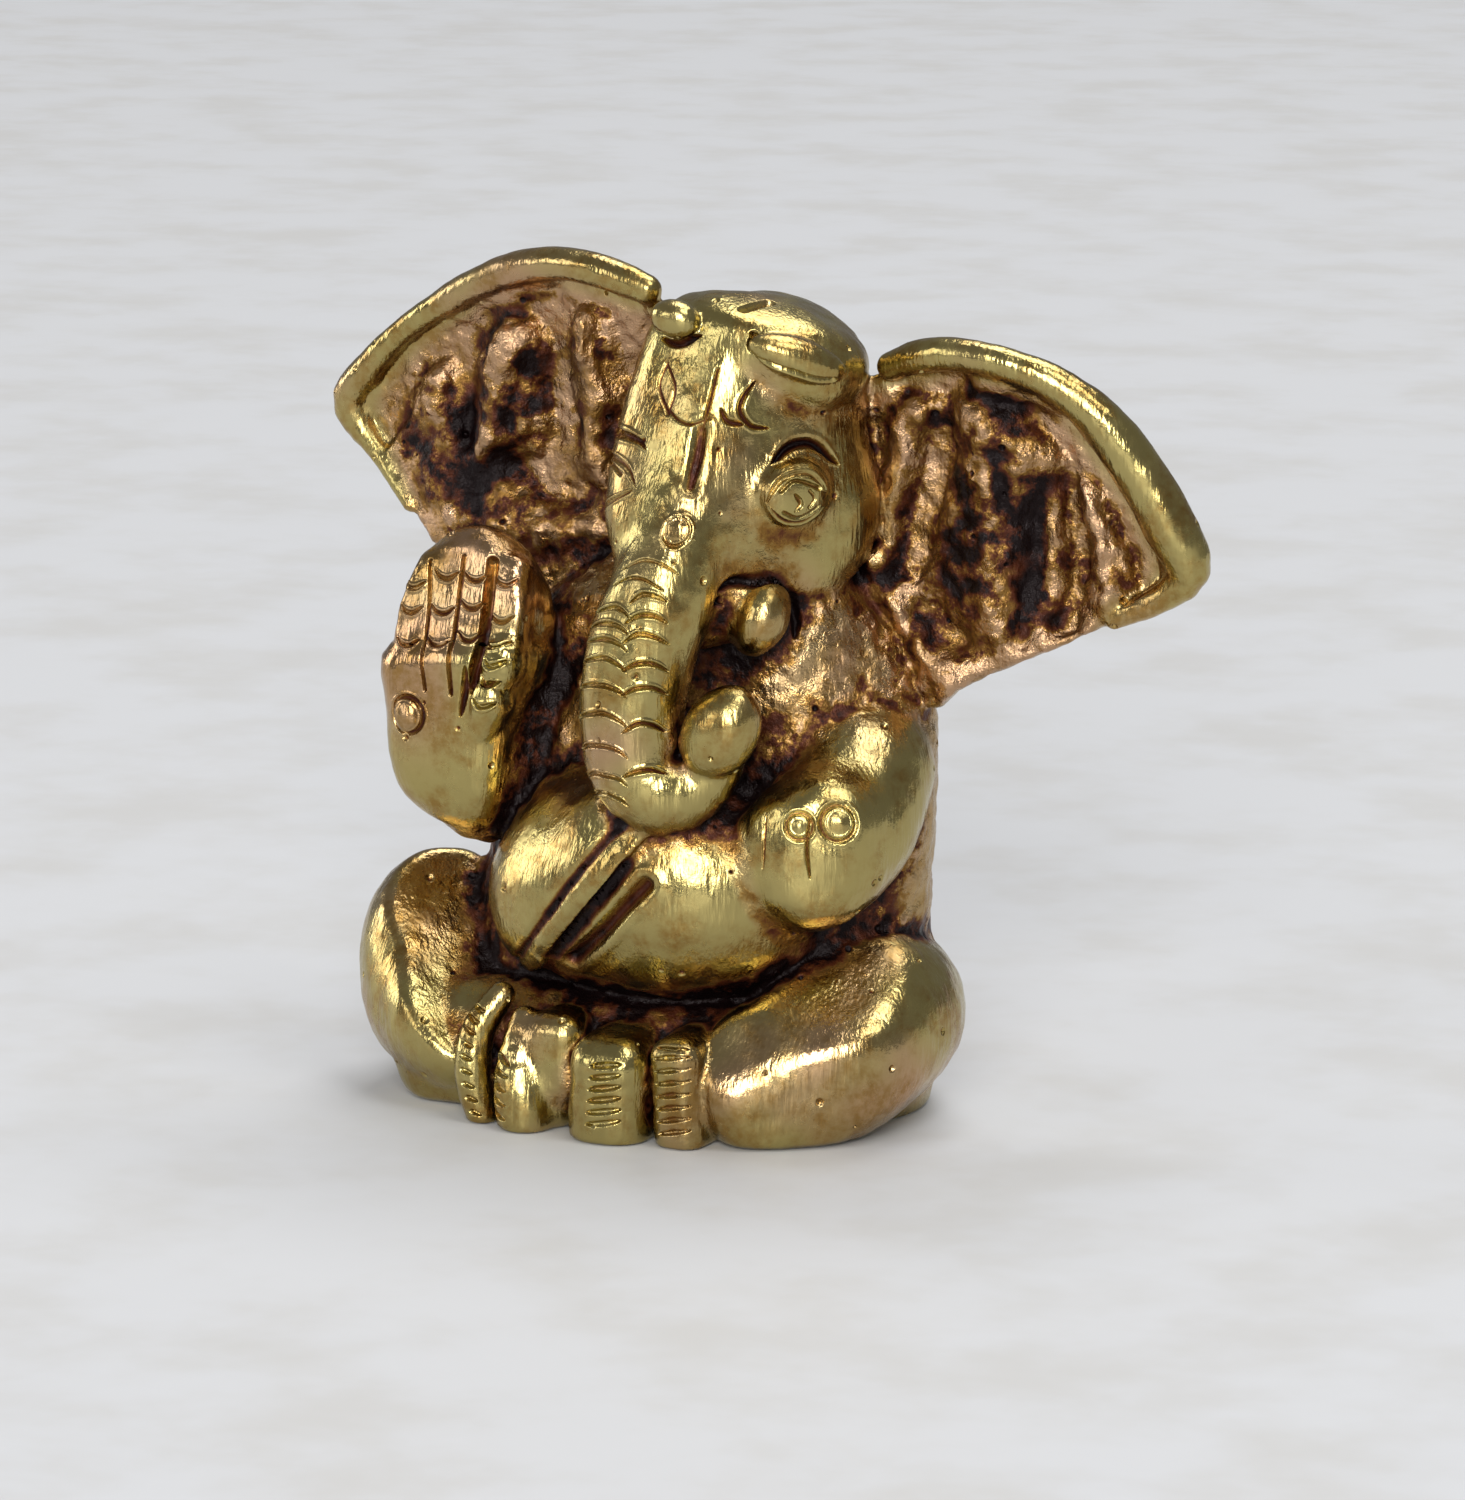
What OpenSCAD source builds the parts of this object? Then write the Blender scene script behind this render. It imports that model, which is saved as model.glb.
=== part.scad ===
// Small seated elephant-headed idol, one solid brass casting.
// The figure faces -Y, its left side is +X, and it rests on the flat underside at z = 0.
// Each node is one of the lumps that the founder's wax model is built up from.

/* [Overall] */
// Height of the idol, from the flat underside to the top of the higher ear
overall_height = 50.4; // [50:0.2:51]
// Span of the two ears, tip to tip
ear_span = 57.2; // [56:0.2:58]

/* [Seat and legs] */
// Width of the flat seat that the idol rests on
seat_width = 30; // [26:1:32]
// Depth of the flat seat, front to back
seat_depth = 17; // [14:1:19]
// Height of the seat
seat_height = 7; // [5:0.5:8]
// Radius of the rounded knees
knee_radius = 5; // [4.5:0.25:5.5]
// Width of each foot
foot_width = 4.7; // [4:0.1:4.8]
// Number of notches on each anklet
anklet_notches = 6; // [3:1:8]

/* [Body] */
// Radius of the round back
back_radius = 7.8; // [7:0.2:8]
// Radius of the belly
belly_radius = 6.8; // [6:0.2:7.5]
// Radius of the two bands of the sash over the belly
sash_radius = 0.9; // [0.7:0.1:1.2]

/* [Head] */
// Radius of the skull
skull_radius = 6.1; // [5.6:0.1:6.4]
// Radius of the trunk where it leaves the face
trunk_radius = 3.6; // [3.2:0.1:3.8]
// Thickness of each ear
ear_thickness = 2; // [1.6:0.1:2.4]
// Thickness of the rolled rim of each ear
ear_rim_thickness = 2.8; // [2.4:0.1:3]
// Radius of the round marks on the forehead and the palm
dot_radius = 1.1; // [0.9:0.1:1.3]

/* [Hands] */
// Radius of each finger of the raised hand
finger_radius = 1.45; // [1.3:0.05:1.5]
// Radius of the lower left arm
left_arm_radius = 4.7; // [4.4:0.1:4.9]

/* [Hidden] */

$fn = 16;
fit = 0.02;              // how far a cutter reaches past the face it cuts
plenty = 100;            // side of the block that trims everything below z = 0
seat_x = -4.5;           // the seat is off the middle of the ears, under the leaning head
head_x = 1.5;
ear_tip_x = ear_span / 2 - ear_rim_thickness / 2;
ear_top_z = overall_height - ear_rim_thickness / 2;

// Every path below is a list of balls [x, y, z, radius], chosen by hand.
// Each level of the back: [left x, right x, y, z, radius]
torso_levels = [
    [3.2, -11.8, 3, 6.5, back_radius - 0.4],
    [2.2, -8.6, 3.4, 13.5, back_radius],
    [3, -7, 2.8, 21, back_radius - 0.8],
    [2.4, -2, 1.8, 28.6, back_radius - 2.2]
];
spine_offset = 0.8;      // how far the middle of the back stands out
right_shoulder_path = [
    [-13, 2.4, 22.5, 4.4],
    [-9.5, 2.6, 26.4, 4.8],
    [-5, 2.4, 28.6, 5]
];
left_shoulder_path = [
    [1.6, 2.2, 28.4, 5],
    [6.4, 2.6, 25.8, 4.8],
    [8.4, 2.6, 21, 4.4],
    [7.4, 3, 13, 4.6]
];
belly_path = [
    [-6, -1.6, 14.2, belly_radius],
    [-2.6, -2.4, 13.8, belly_radius + 0.4],
    [0.8, -1.6, 13.8, belly_radius]
];
sash_upper_path = [
    [-5.6, -7, 20.2, sash_radius],
    [-7.6, -8, 17.6, sash_radius],
    [-9.4, -7.9, 14.8, sash_radius],
    [-10.9, -6.9, 12.2, sash_radius],
    [-11.6, -5.2, 10.2, sash_radius]
];
sash_lower_path = [
    [-2, -7.6, 19.6, sash_radius],
    [-4, -8.8, 16.8, sash_radius],
    [-6.2, -9.1, 13.6, sash_radius],
    [-8, -8.5, 10.6, sash_radius],
    [-9, -7.2, 8.4, sash_radius]
];
head_path = [
    [2.1, 0.8, 42.2, skull_radius],
    [1.5, -0.6, 38.5, skull_radius + 0.4],
    [0.8, -2.6, 34.6, skull_radius - 0.8],
    [0.4, -4.2, 31.8, skull_radius - 2.2]
];
cheek_path = [
    [-2, 0.4, 36.6, skull_radius - 1.6],
    [4.6, 0.6, 36, skull_radius - 1.6],
    [4.2, -0.6, 32.6, skull_radius - 2],
    [-2, -0.8, 32.8, skull_radius - 2]
];
crown_path = [
    [-1.6, -1.4, 46.4, 2.6],
    [2.2, -2, 46.4, 3],
    [5.6, -0.8, 44.6, 2.6],
    [2.6, 2.6, 45.4, 3]
];
trunk_path = [
    [0.5, -6.2, 36.2, trunk_radius],
    [-0.1, -8.2, 32.4, trunk_radius - 0.2],
    [-0.8, -8.8, 28.6, trunk_radius - 0.4],
    [-1.2, -9, 25, trunk_radius - 0.5],
    [-0.9, -8.9, 22.2, trunk_radius - 0.6],
    [0.6, -8.6, 21, trunk_radius - 1.1]
];
trunk_tip_path = [
    [2.8, -8.4, 22.4, 1.5],
    [3.9, -8.5, 24.2, 2],
    [4.5, -8.4, 25.8, 1.9]
];
right_arm_path = [
    [-12.4, 1.2, 25, 4.2],
    [-14.6, -0.4, 22, 4.4],
    [-15.6, -1.4, 19, 4.2],
    [-16, -2.4, 17.8, 3.4]
];
palm_corners = [
    [-18.4, -4.2, 24.6, 2.4],
    [-18.2, -4.4, 20.4, 2.4],
    [-15.8, -5.4, 18.4, 2],
    [-13.4, -4.6, 20.4, 2.4],
    [-12.8, -4.4, 25, 2.4]
];
thumb_path = [
    [-12.6, -6.6, 21.8, 1.3],
    [-11.9, -6.6, 25, 1.3],
    [-11.6, -6.4, 28.2, 1.2]
];
left_arm_path = [
    [8.4, 0.6, 20.6, left_arm_radius],
    [8.7, -1.4, 18.2, left_arm_radius],
    [8.3, -3.4, 17, left_arm_radius - 0.5]
];
left_hand_path = [
    [8.2, -5, 18.8, 3],
    [6.6, -6.2, 18.2, 3.2],
    [7.8, -6, 15.6, 2.8]
];
right_leg_path = [
    [-13.6, 6, 5.4, knee_radius],
    [-16.6, 2.4, 6.4, knee_radius],
    [-17.6, -1, 9, knee_radius - 0.1],
    [-17.2, -2.4, 6, knee_radius],
    [-15.6, -5, 5.2, knee_radius - 0.4],
    [-14.4, -6.6, 4.4, knee_radius - 1.4]
];
left_leg_path = [
    [5, 6.4, 5.4, knee_radius],
    [8.2, 2.6, 6.2, knee_radius],
    [8.8, -0.6, 6, knee_radius],
    [7.6, -4.4, 4.6, knee_radius - 0.6],
    [5.4, -6.8, 3.8, knee_radius - 1]
];

// The ears' outlines run from the crown of the head, over the top and tip, to the shoulder.
// Each root is the line along which the blade meets the head, from its top to its bottom.
right_ear_root = [[-3.6, 3, 44.6], [-5, 3, 31.4]];
right_ear_outline = [
    [-4.8, 0.4, 47.4],
    [-8.6, 0.2, 48.6],
    [-12.8, 0.6, ear_top_z],
    [-17.4, 1.6, 48],
    [-22, 2.8, 44.6],
    [-ear_tip_x, 4.2, 39.2],
    [-25, 3.6, 37.2],
    [-22, 2.4, 34.6],
    [-18.6, 1.2, 32],
    [-11, 2, 30]
];
left_ear_root = [[6, 3.6, 42], [7.6, 3.4, 27]];
left_ear_outline = [
    [8, 2.4, 44.2],
    [12, 2, 45],
    [16, 2.4, 44.6],
    [20.4, 3.4, 42.2],
    [24.4, 4.4, 38.2],
    [ear_tip_x, 5, 32.8],
    [25.4, 4.8, 31.6],
    [21, 4, 30],
    [16.8, 3, 27.8],
    [13.2, 2.6, 25.2]
];
rim_points = 6;          // the rolled rim covers this many outline points, up to the tip

// One ball of a path
module ball(b) {
    translate([b.x, b.y, b.z])
        sphere(r = b[3]);
}

// A tapering limb through the balls of a path
module limb(path) {
    for (i = [0 : len(path) - 2])
        hull() {
            ball(path[i]);
            ball(path[i + 1]);
        }
}

// One rounded lump that encloses all the balls of a list
module lump(balls) {
    hull()
        for (b = balls)
            ball(b);
}

// Cuts everything below the plane that the idol rests on
module grounded() {
    intersection() {
        children();
        translate([-plenty / 2, -plenty / 2, 0])
            cube(plenty);
    }
}

// The point a part t of the way along a line
function along(line, t) = line[0] + (line[1] - line[0]) * t;

// An ear's blade: flat panels that fan out from the root to the outline
module ear_blade(root, outline) {
    panels = len(outline) - 1;
    for (i = [0 : panels - 1])
        hull()
            for (p = [along(root, i / panels), along(root, (i + 1) / panels), outline[i], outline[i + 1]])
                translate(p)
                    sphere(d = ear_thickness);
}

// An ear's rolled rim along the first points of the outline
module ear_rim(outline) {
    for (i = [0 : rim_points - 2])
        hull()
            for (p = [outline[i], outline[i + 1]])
                translate(p)
                    sphere(d = ear_rim_thickness);
}

// A round raised mark: a low disc with a bead in the middle, facing -Y
module round_mark(position, tilt) {
    translate(position)
        rotate([90 + tilt, 0, 0]) {
            cylinder(h = 1, r = dot_radius, $fn = 32);
            translate([0, 0, 0.7])
                sphere(r = dot_radius * 0.6, $fn = 32);
        }
}

// A foot with a rounded instep and a square toe
module foot_shape(x, front, top) {
    half = foot_width / 2;
    edge = 0.9;
    hull()
        for (dx = [edge - half, half - edge]) {
            for (z = [edge, top - edge])
                translate([x + dx, -front + edge, z])
                    sphere(r = edge);
            translate([x + dx, -6.5, 1])
                sphere(r = edge);
            translate([x + dx, -6.5, top - edge])
                sphere(r = edge);
        }
}

// A ridge with a row of notches down its front edge
module anklet_shape(x, front, top, width, lean) {
    edge = 0.7;
    notch = 0.32;
    difference() {
        hull()
            for (dx = [edge - width / 2, width / 2 - edge]) {
                translate([x + dx, -front + edge, edge])
                    sphere(r = edge);
                translate([x + dx + lean, -front + edge + 1.2, top - edge])
                    sphere(r = edge);
                translate([x + dx + lean, -6.5, top - edge])
                    sphere(r = edge);
                translate([x + dx, -6.5, edge])
                    sphere(r = edge);
            }
        for (i = [1 : anklet_notches])
            translate([x - width, -front + 1.2 * i / anklet_notches, top * i / (anklet_notches + 1)])
                rotate([0, 90, 0])
                    cylinder(h = 2 * width, r = notch, $fn = 16);
    }
}

module seat_shape() {
    r = seat_depth / 2;
    translate([seat_x - seat_width / 2 + r, 0, 0])
        cylinder(h = seat_height, r = r, $fn = 64);
    translate([seat_x + seat_width / 2 - r, 0, 0])
        cylinder(h = seat_height, r = r, $fn = 64);
    translate([seat_x - seat_width / 2 + r, -r, 0])
        cube([seat_width - seat_depth, seat_depth, seat_height]);
}

module torso_shape() {
    grounded()
        for (i = [0 : len(torso_levels) - 2])
            hull()
                for (level = [torso_levels[i], torso_levels[i + 1]]) {
                    ball([level[0], level[2], level[3], level[4]]);
                    ball([level[1], level[2], level[3], level[4]]);
                    ball([(level[0] + level[1]) / 2, level[2] + spine_offset, level[3], level[4]]);
                }
}

module belly_shape() {
    lump(belly_path);
}

module head_shape() {
    limb(head_path);
    lump(cheek_path);
}

module trunk_shape() {
    limb(trunk_path);
}

// The parts below are drawn in the order that the wax is built up, so each gives way to the
// parts that were there before it.

module seat() {
    color("goldenrod")
        seat_shape();
}

module torso() {
    color("darkgoldenrod")
        difference() {
            torso_shape();
            seat_shape();
        }
}

module right_shoulder() {
    color("sienna")
        difference() {
            limb(right_shoulder_path);
            torso_shape();
            head_shape();
        }
}

module left_shoulder() {
    color("sienna")
        difference() {
            limb(left_shoulder_path);
            torso_shape();
            head_shape();
        }
}

module belly() {
    color("gold")
        difference() {
            belly_shape();
            torso_shape();
            seat_shape();
        }
}

module sash_upper_band() {
    color("khaki")
        difference() {
            limb(sash_upper_path);
            belly_shape();
        }
}

module sash_lower_band() {
    color("khaki")
        difference() {
            limb(sash_lower_path);
            belly_shape();
        }
}

module head() {
    color("goldenrod")
        difference() {
            head_shape();
            torso_shape();
        }
}

module crown_cap() {
    color("darkgoldenrod")
        difference() {
            lump(crown_path);
            head_shape();
            translate([2, -5.4, 49])
                rotate([0, 0, 20])
                    cube([0.6, 3, 1.5]);
        }
}

module crown_lump_right() {
    color("gold")
        difference() {
            lump([[-2, -4, 47, 1], [-0.6, -4.4, 47.2, 0.9]]);
            lump(crown_path);
            head_shape();
        }
}

module crown_lobe_left() {
    color("gold")
        difference() {
            lump([[3.8, -4, 46, 0.8], [6, -3.2, 44.9, 1.1], [8, -1.6, 43.9, 0.8]]);
            lump(crown_path);
            head_shape();
        }
}

// An almond eye on one side of the face: side is 1 for the left and -1 for the right
module eye_shape(side) {
    lump([
        [head_x + side * 5.8, -4.4, 38.6, 1],
        [head_x + side * 6, -3.2, 37.9, 1.6],
        [head_x + side * 6.4, -1.6, 37.2, 1]
    ]);
}

module right_eye() {
    color("peru")
        difference() {
            eye_shape(-1);
            head_shape();
        }
}

module left_eye() {
    color("peru")
        difference() {
            eye_shape(1);
            head_shape();
        }
}

module forehead_dot() {
    color("gold")
        difference() {
            round_mark([0.9, -9.1, 36.7], -12);
            trunk_shape();
            head_shape();
        }
}

module trunk() {
    color("goldenrod")
        difference() {
            trunk_shape();
            head_shape();
            torso_shape();
            belly_shape();
        }
}

module trunk_tip() {
    color("gold")
        difference() {
            limb(trunk_tip_path);
            trunk_shape();
            belly_shape();
        }
}

// A short blunt tusk in its fold of the cheek: side is 1 for the left and -1 for the right
module tusk_shape(side) {
    lump([[head_x + side * 3, -4.6, 31, 1.9], [head_x + side * 3.6, -6.6, 30.4, 1.5]]);
}

module right_tusk() {
    color("khaki")
        difference() {
            tusk_shape(-1);
            head_shape();
            trunk_shape();
            torso_shape();
        }
}

module left_tusk() {
    color("khaki")
        difference() {
            tusk_shape(1);
            head_shape();
            trunk_shape();
            torso_shape();
        }
}

module right_ear() {
    color("sienna")
        difference() {
            ear_blade(right_ear_root, right_ear_outline);
            ear_rim(right_ear_outline);
            head_shape();
            torso_shape();
            limb(right_shoulder_path);
            lump(crown_path);
        }
}

module left_ear() {
    color("sienna")
        difference() {
            ear_blade(left_ear_root, left_ear_outline);
            ear_rim(left_ear_outline);
            head_shape();
            torso_shape();
            limb(left_shoulder_path);
            lump(crown_path);
        }
}

module right_ear_rim() {
    color("gold")
        difference() {
            ear_rim(right_ear_outline);
            head_shape();
            lump(crown_path);
        }
}

module left_ear_rim() {
    color("gold")
        difference() {
            ear_rim(left_ear_outline);
            head_shape();
            lump(crown_path);
        }
}

module right_arm() {
    color("darkgoldenrod")
        difference() {
            limb(right_arm_path);
            torso_shape();
            limb(right_shoulder_path);
        }
}

module right_palm() {
    color("gold")
        difference() {
            lump(palm_corners);
            limb(right_arm_path);
        }
}

// Four fingers side by side, held straight up, the middle ones longest
module finger_shape() {
    for (i = [0 : 3])
        lump([
            [-18.3 + 1.75 * i, -4.9, 25.2, finger_radius],
            [-17.7 + 1.5 * i, -3.8, 31.6 + (i == 0 || i == 3 ? -0.8 : 0), finger_radius]
        ]);
}

module right_fingers() {
    color("khaki")
        difference() {
            finger_shape();
            lump(palm_corners);
            limb(right_arm_path);
        }
}

module right_thumb() {
    color("khaki")
        difference() {
            limb(thumb_path);
            lump(palm_corners);
            finger_shape();
        }
}

module palm_dot() {
    color("gold")
        difference() {
            round_mark([-18, -6.2, 22.6], 0);
            lump(palm_corners);
        }
}

module left_arm() {
    color("darkgoldenrod")
        difference() {
            limb(left_arm_path);
            torso_shape();
            limb(left_shoulder_path);
            belly_shape();
        }
}

module left_hand() {
    color("gold")
        difference() {
            lump(left_hand_path);
            limb(left_arm_path);
            belly_shape();
        }
}

module right_leg_shape() {
    grounded()
        limb(right_leg_path);
}

module right_foot_shape() {
    foot_shape(-8.2, 12, 6.8);
}

// The room that the leg leaves for the anklet in front of it
module right_anklet_block() {
    translate([-13.4, -12, 0])
        cube([6, 6.2, 9]);
}

module left_leg_shape() {
    grounded()
        limb(left_leg_path);
}

module right_leg() {
    color("goldenrod")
        difference() {
            right_leg_shape();
            right_anklet_block();
            seat_shape();
            torso_shape();
            belly_shape();
        }
}

module left_leg() {
    color("goldenrod")
        difference() {
            left_leg_shape();
            seat_shape();
            torso_shape();
            belly_shape();
        }
}

module right_foot() {
    color("gold")
        difference() {
            right_foot_shape();
            seat_shape();
        }
}

module left_foot() {
    color("gold")
        difference() {
            foot_shape(-3.2, 12, 6.8);
            seat_shape();
        }
}

module right_anklet() {
    color("khaki")
        difference() {
            anklet_shape(-11.8, 11.4, 8.2, 2.4, -0.3);
            seat_shape();
            right_foot_shape();
        }
}

module left_anklet() {
    color("khaki")
        difference() {
            anklet_shape(1.2, 11.4, 6.8, 2.8, 0.3);
            seat_shape();
            left_leg_shape();
        }
}

seat();
torso();
right_shoulder();
left_shoulder();
belly();
sash_upper_band();
sash_lower_band();
head();
crown_cap();
crown_lump_right();
crown_lobe_left();
right_eye();
left_eye();
forehead_dot();
trunk();
trunk_tip();
right_tusk();
left_tusk();
right_ear();
left_ear();
right_ear_rim();
left_ear_rim();
right_arm();
right_palm();
right_fingers();
right_thumb();
palm_dot();
left_arm();
left_hand();
right_leg();
left_leg();
right_foot();
left_foot();
right_anklet();
left_anklet();
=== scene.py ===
"""The ganesha idol's looks: one antiqued brass casting, sculpted as clay lumps around the CAD frame.

Sizes are millimetres in the part's own frame until a mesh is made: +X is the figure's left, -Y its
front. Every place on the idol is measured from the middle of a CAD node's box.
"""
import math

import bpy
import numpy as np
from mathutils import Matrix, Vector


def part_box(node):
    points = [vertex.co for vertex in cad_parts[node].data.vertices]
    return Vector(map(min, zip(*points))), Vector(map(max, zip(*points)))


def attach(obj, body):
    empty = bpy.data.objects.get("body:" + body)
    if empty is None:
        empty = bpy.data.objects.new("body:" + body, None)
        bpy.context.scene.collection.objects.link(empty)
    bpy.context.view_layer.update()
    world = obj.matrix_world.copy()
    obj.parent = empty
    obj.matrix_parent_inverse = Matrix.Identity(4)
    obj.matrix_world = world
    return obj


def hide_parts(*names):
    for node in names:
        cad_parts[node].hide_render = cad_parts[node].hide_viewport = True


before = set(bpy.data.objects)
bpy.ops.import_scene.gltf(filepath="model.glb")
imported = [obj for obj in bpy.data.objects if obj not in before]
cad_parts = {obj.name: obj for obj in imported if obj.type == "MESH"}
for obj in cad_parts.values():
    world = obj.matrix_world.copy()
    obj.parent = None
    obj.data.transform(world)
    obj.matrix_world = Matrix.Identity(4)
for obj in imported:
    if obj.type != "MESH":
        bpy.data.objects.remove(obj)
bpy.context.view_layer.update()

MM = 0.001
STEP = 0.22      # grid spacing of the clay
FINE_LEVELS = 2     # how often faces under chased lines are divided
GRID_LOW = (-30.4, -14.0, -1.2)          # corners of the clay's grid, which is round the CAD box
GRID_HIGH = (30.0, 13.2, 52.4)
FAR = 9.0                                # distance that stands for "no clay near here"
# Lumps left as they came from the sand, and lumps that the chaser worked over. The rest are polished.
ROUGH = ("torso", "right_shoulder", "left_shoulder", "right_ear", "left_ear", "right_arm")
CHASED = ("sash_upper_band", "sash_lower_band", "right_eye", "left_eye", "forehead_dot", "trunk",
          "palm_dot", "right_fingers", "right_thumb", "right_anklet", "left_anklet",
          "crown_lump_right", "crown_lobe_left")
HOLLOW_RADII = (0.45, 1.1, 2.4, 4.6)     # how far around a point the patina and the painted shade look for metal
PIT_COUNT = 260                          # holes left by bubbles
DEEP_LINE = 0.5                          # a wider line than this is divided only once
EAR_HOLLOW, EAR_CONTRAST = 1.71, 0.27    # the mean and spread of the darkening inside the ears, patina with painted shade


# ---------------- clay: shapes as distance fields

def smooth_min(a, b, k):
    """The smaller of two distances, with a fillet of size k where they are alike."""
    if k <= 0:
        return np.minimum(a, b)
    h = np.maximum(k - np.abs(a - b), 0) / k
    return np.minimum(a, b) - h * h * k / 4


def smooth_max(a, b, k):
    return -smooth_min(-a, -b, k)


class Shape:
    """A solid given by its signed distance: negative inside. lo and hi are its box."""

    def __init__(self, lo, hi, dist):
        self.lo, self.hi, self.dist = np.array(lo, float), np.array(hi, float), dist

    def join(self, other, k):
        return Shape(np.minimum(self.lo, other.lo), np.maximum(self.hi, other.hi),
                     lambda x, y, z: smooth_min(self.dist(x, y, z), other.dist(x, y, z), k))

    def cut(self, other, k):
        return Shape(self.lo, self.hi,
                     lambda x, y, z: smooth_max(self.dist(x, y, z), -other.dist(x, y, z), k))

    def trim(self, node, point, normal, k):
        """Keeps what is behind a facet."""
        plane = facet(node, point, normal)
        return Shape(self.lo, self.hi,
                     lambda x, y, z: smooth_max(self.dist(x, y, z), plane.dist(x, y, z), k))


def turned(x, y, z, centre, turn):
    """Coordinates in a shape's own axes: turn is its rotation about X, then Y, then Z, in degrees."""
    rx, ry, rz = (math.radians(t) for t in turn)
    x, y, z = x - centre[0], y - centre[1], z - centre[2]
    c, s = math.cos(rz), math.sin(rz)
    x, y = c * x + s * y, -s * x + c * y
    c, s = math.cos(ry), math.sin(ry)
    x, z = c * x - s * z, s * x + c * z
    c, s = math.cos(rx), math.sin(rx)
    y, z = c * y + s * z, -s * y + c * z
    return x, y, z


def egg(centre, radii, turn=(0, 0, 0)):
    """An ellipsoid."""
    rx, ry, rz = radii
    reach = max(radii)

    def dist(x, y, z):
        x, y, z = turned(x, y, z, centre, turn)
        near = np.sqrt((x / rx) ** 2 + (y / ry) ** 2 + (z / rz) ** 2)
        slope = np.sqrt((x / rx ** 2) ** 2 + (y / ry ** 2) ** 2 + (z / rz ** 2) ** 2) + 1e-6
        return near * (near - 1) / slope
    return Shape(np.subtract(centre, reach), np.add(centre, reach), dist)


def limb(balls, spacing=0.7):
    """A smoothly bending, tapering limb through balls (x, y, z, radius)."""
    balls = curve(balls, spacing)
    centres, radii = balls[:, :3], balls[:, 3]

    def dist(x, y, z):
        total = None
        for a, b, ra, rb in zip(centres[:-1], centres[1:], radii[:-1], radii[1:]):
            ab = b - a
            t = ((x - a[0]) * ab[0] + (y - a[1]) * ab[1] + (z - a[2]) * ab[2]) / max(ab @ ab, 1e-9)
            t = np.clip(t, 0, 1)
            d = np.sqrt((x - a[0] - t * ab[0]) ** 2 + (y - a[1] - t * ab[1]) ** 2
                        + (z - a[2] - t * ab[2]) ** 2) - (ra + t * (rb - ra))
            total = d if total is None else np.minimum(total, d)
        return total
    return Shape((centres - radii[:, None]).min(0), (centres + radii[:, None]).max(0), dist)


def block(centre, size, edge, turn=(0, 0, 0)):
    """A box with rounded edges: size is its full width, depth and height."""
    half = np.array(size) / 2 - edge
    reach = float(np.linalg.norm(size)) / 2

    def dist(x, y, z):
        x, y, z = turned(x, y, z, centre, turn)
        qx, qy, qz = np.abs(x) - half[0], np.abs(y) - half[1], np.abs(z) - half[2]
        outside = np.sqrt(np.maximum(qx, 0) ** 2 + np.maximum(qy, 0) ** 2 + np.maximum(qz, 0) ** 2)
        return outside + np.minimum(np.maximum(np.maximum(qx, qy), qz), 0) - edge
    return Shape(np.subtract(centre, reach), np.add(centre, reach), dist)


def facet(node, point, normal):
    """Everything behind a plane through a point measured from the middle of a node."""
    n = np.array(normal, float)
    n /= np.linalg.norm(n)
    offset = float(n @ spot(node, point))
    return Shape((-60,) * 3, (60,) * 3, lambda x, y, z: n[0] * x + n[1] * y + n[2] * z - offset)


# ---------------- the grid that holds all the lumps

def corners(f):
    """The eight corners of a cell, each with its share at the places f (0 to 1) in the cell."""
    for dx in (0, 1):
        for dy in (0, 1):
            for dz in (0, 1):
                yield dx, dy, dz, (np.where(dx, f[:, 0], 1 - f[:, 0]) * np.where(dy, f[:, 1], 1 - f[:, 1])
                                   * np.where(dz, f[:, 2], 1 - f[:, 2]))


def neighbours(axis):
    """Where to find all grid points but the last, and all but the first, along an axis."""
    low, high = [slice(None)] * 3, [slice(None)] * 3
    low[axis], high[axis] = slice(0, -1), slice(1, None)
    return tuple(low), tuple(high)


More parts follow.
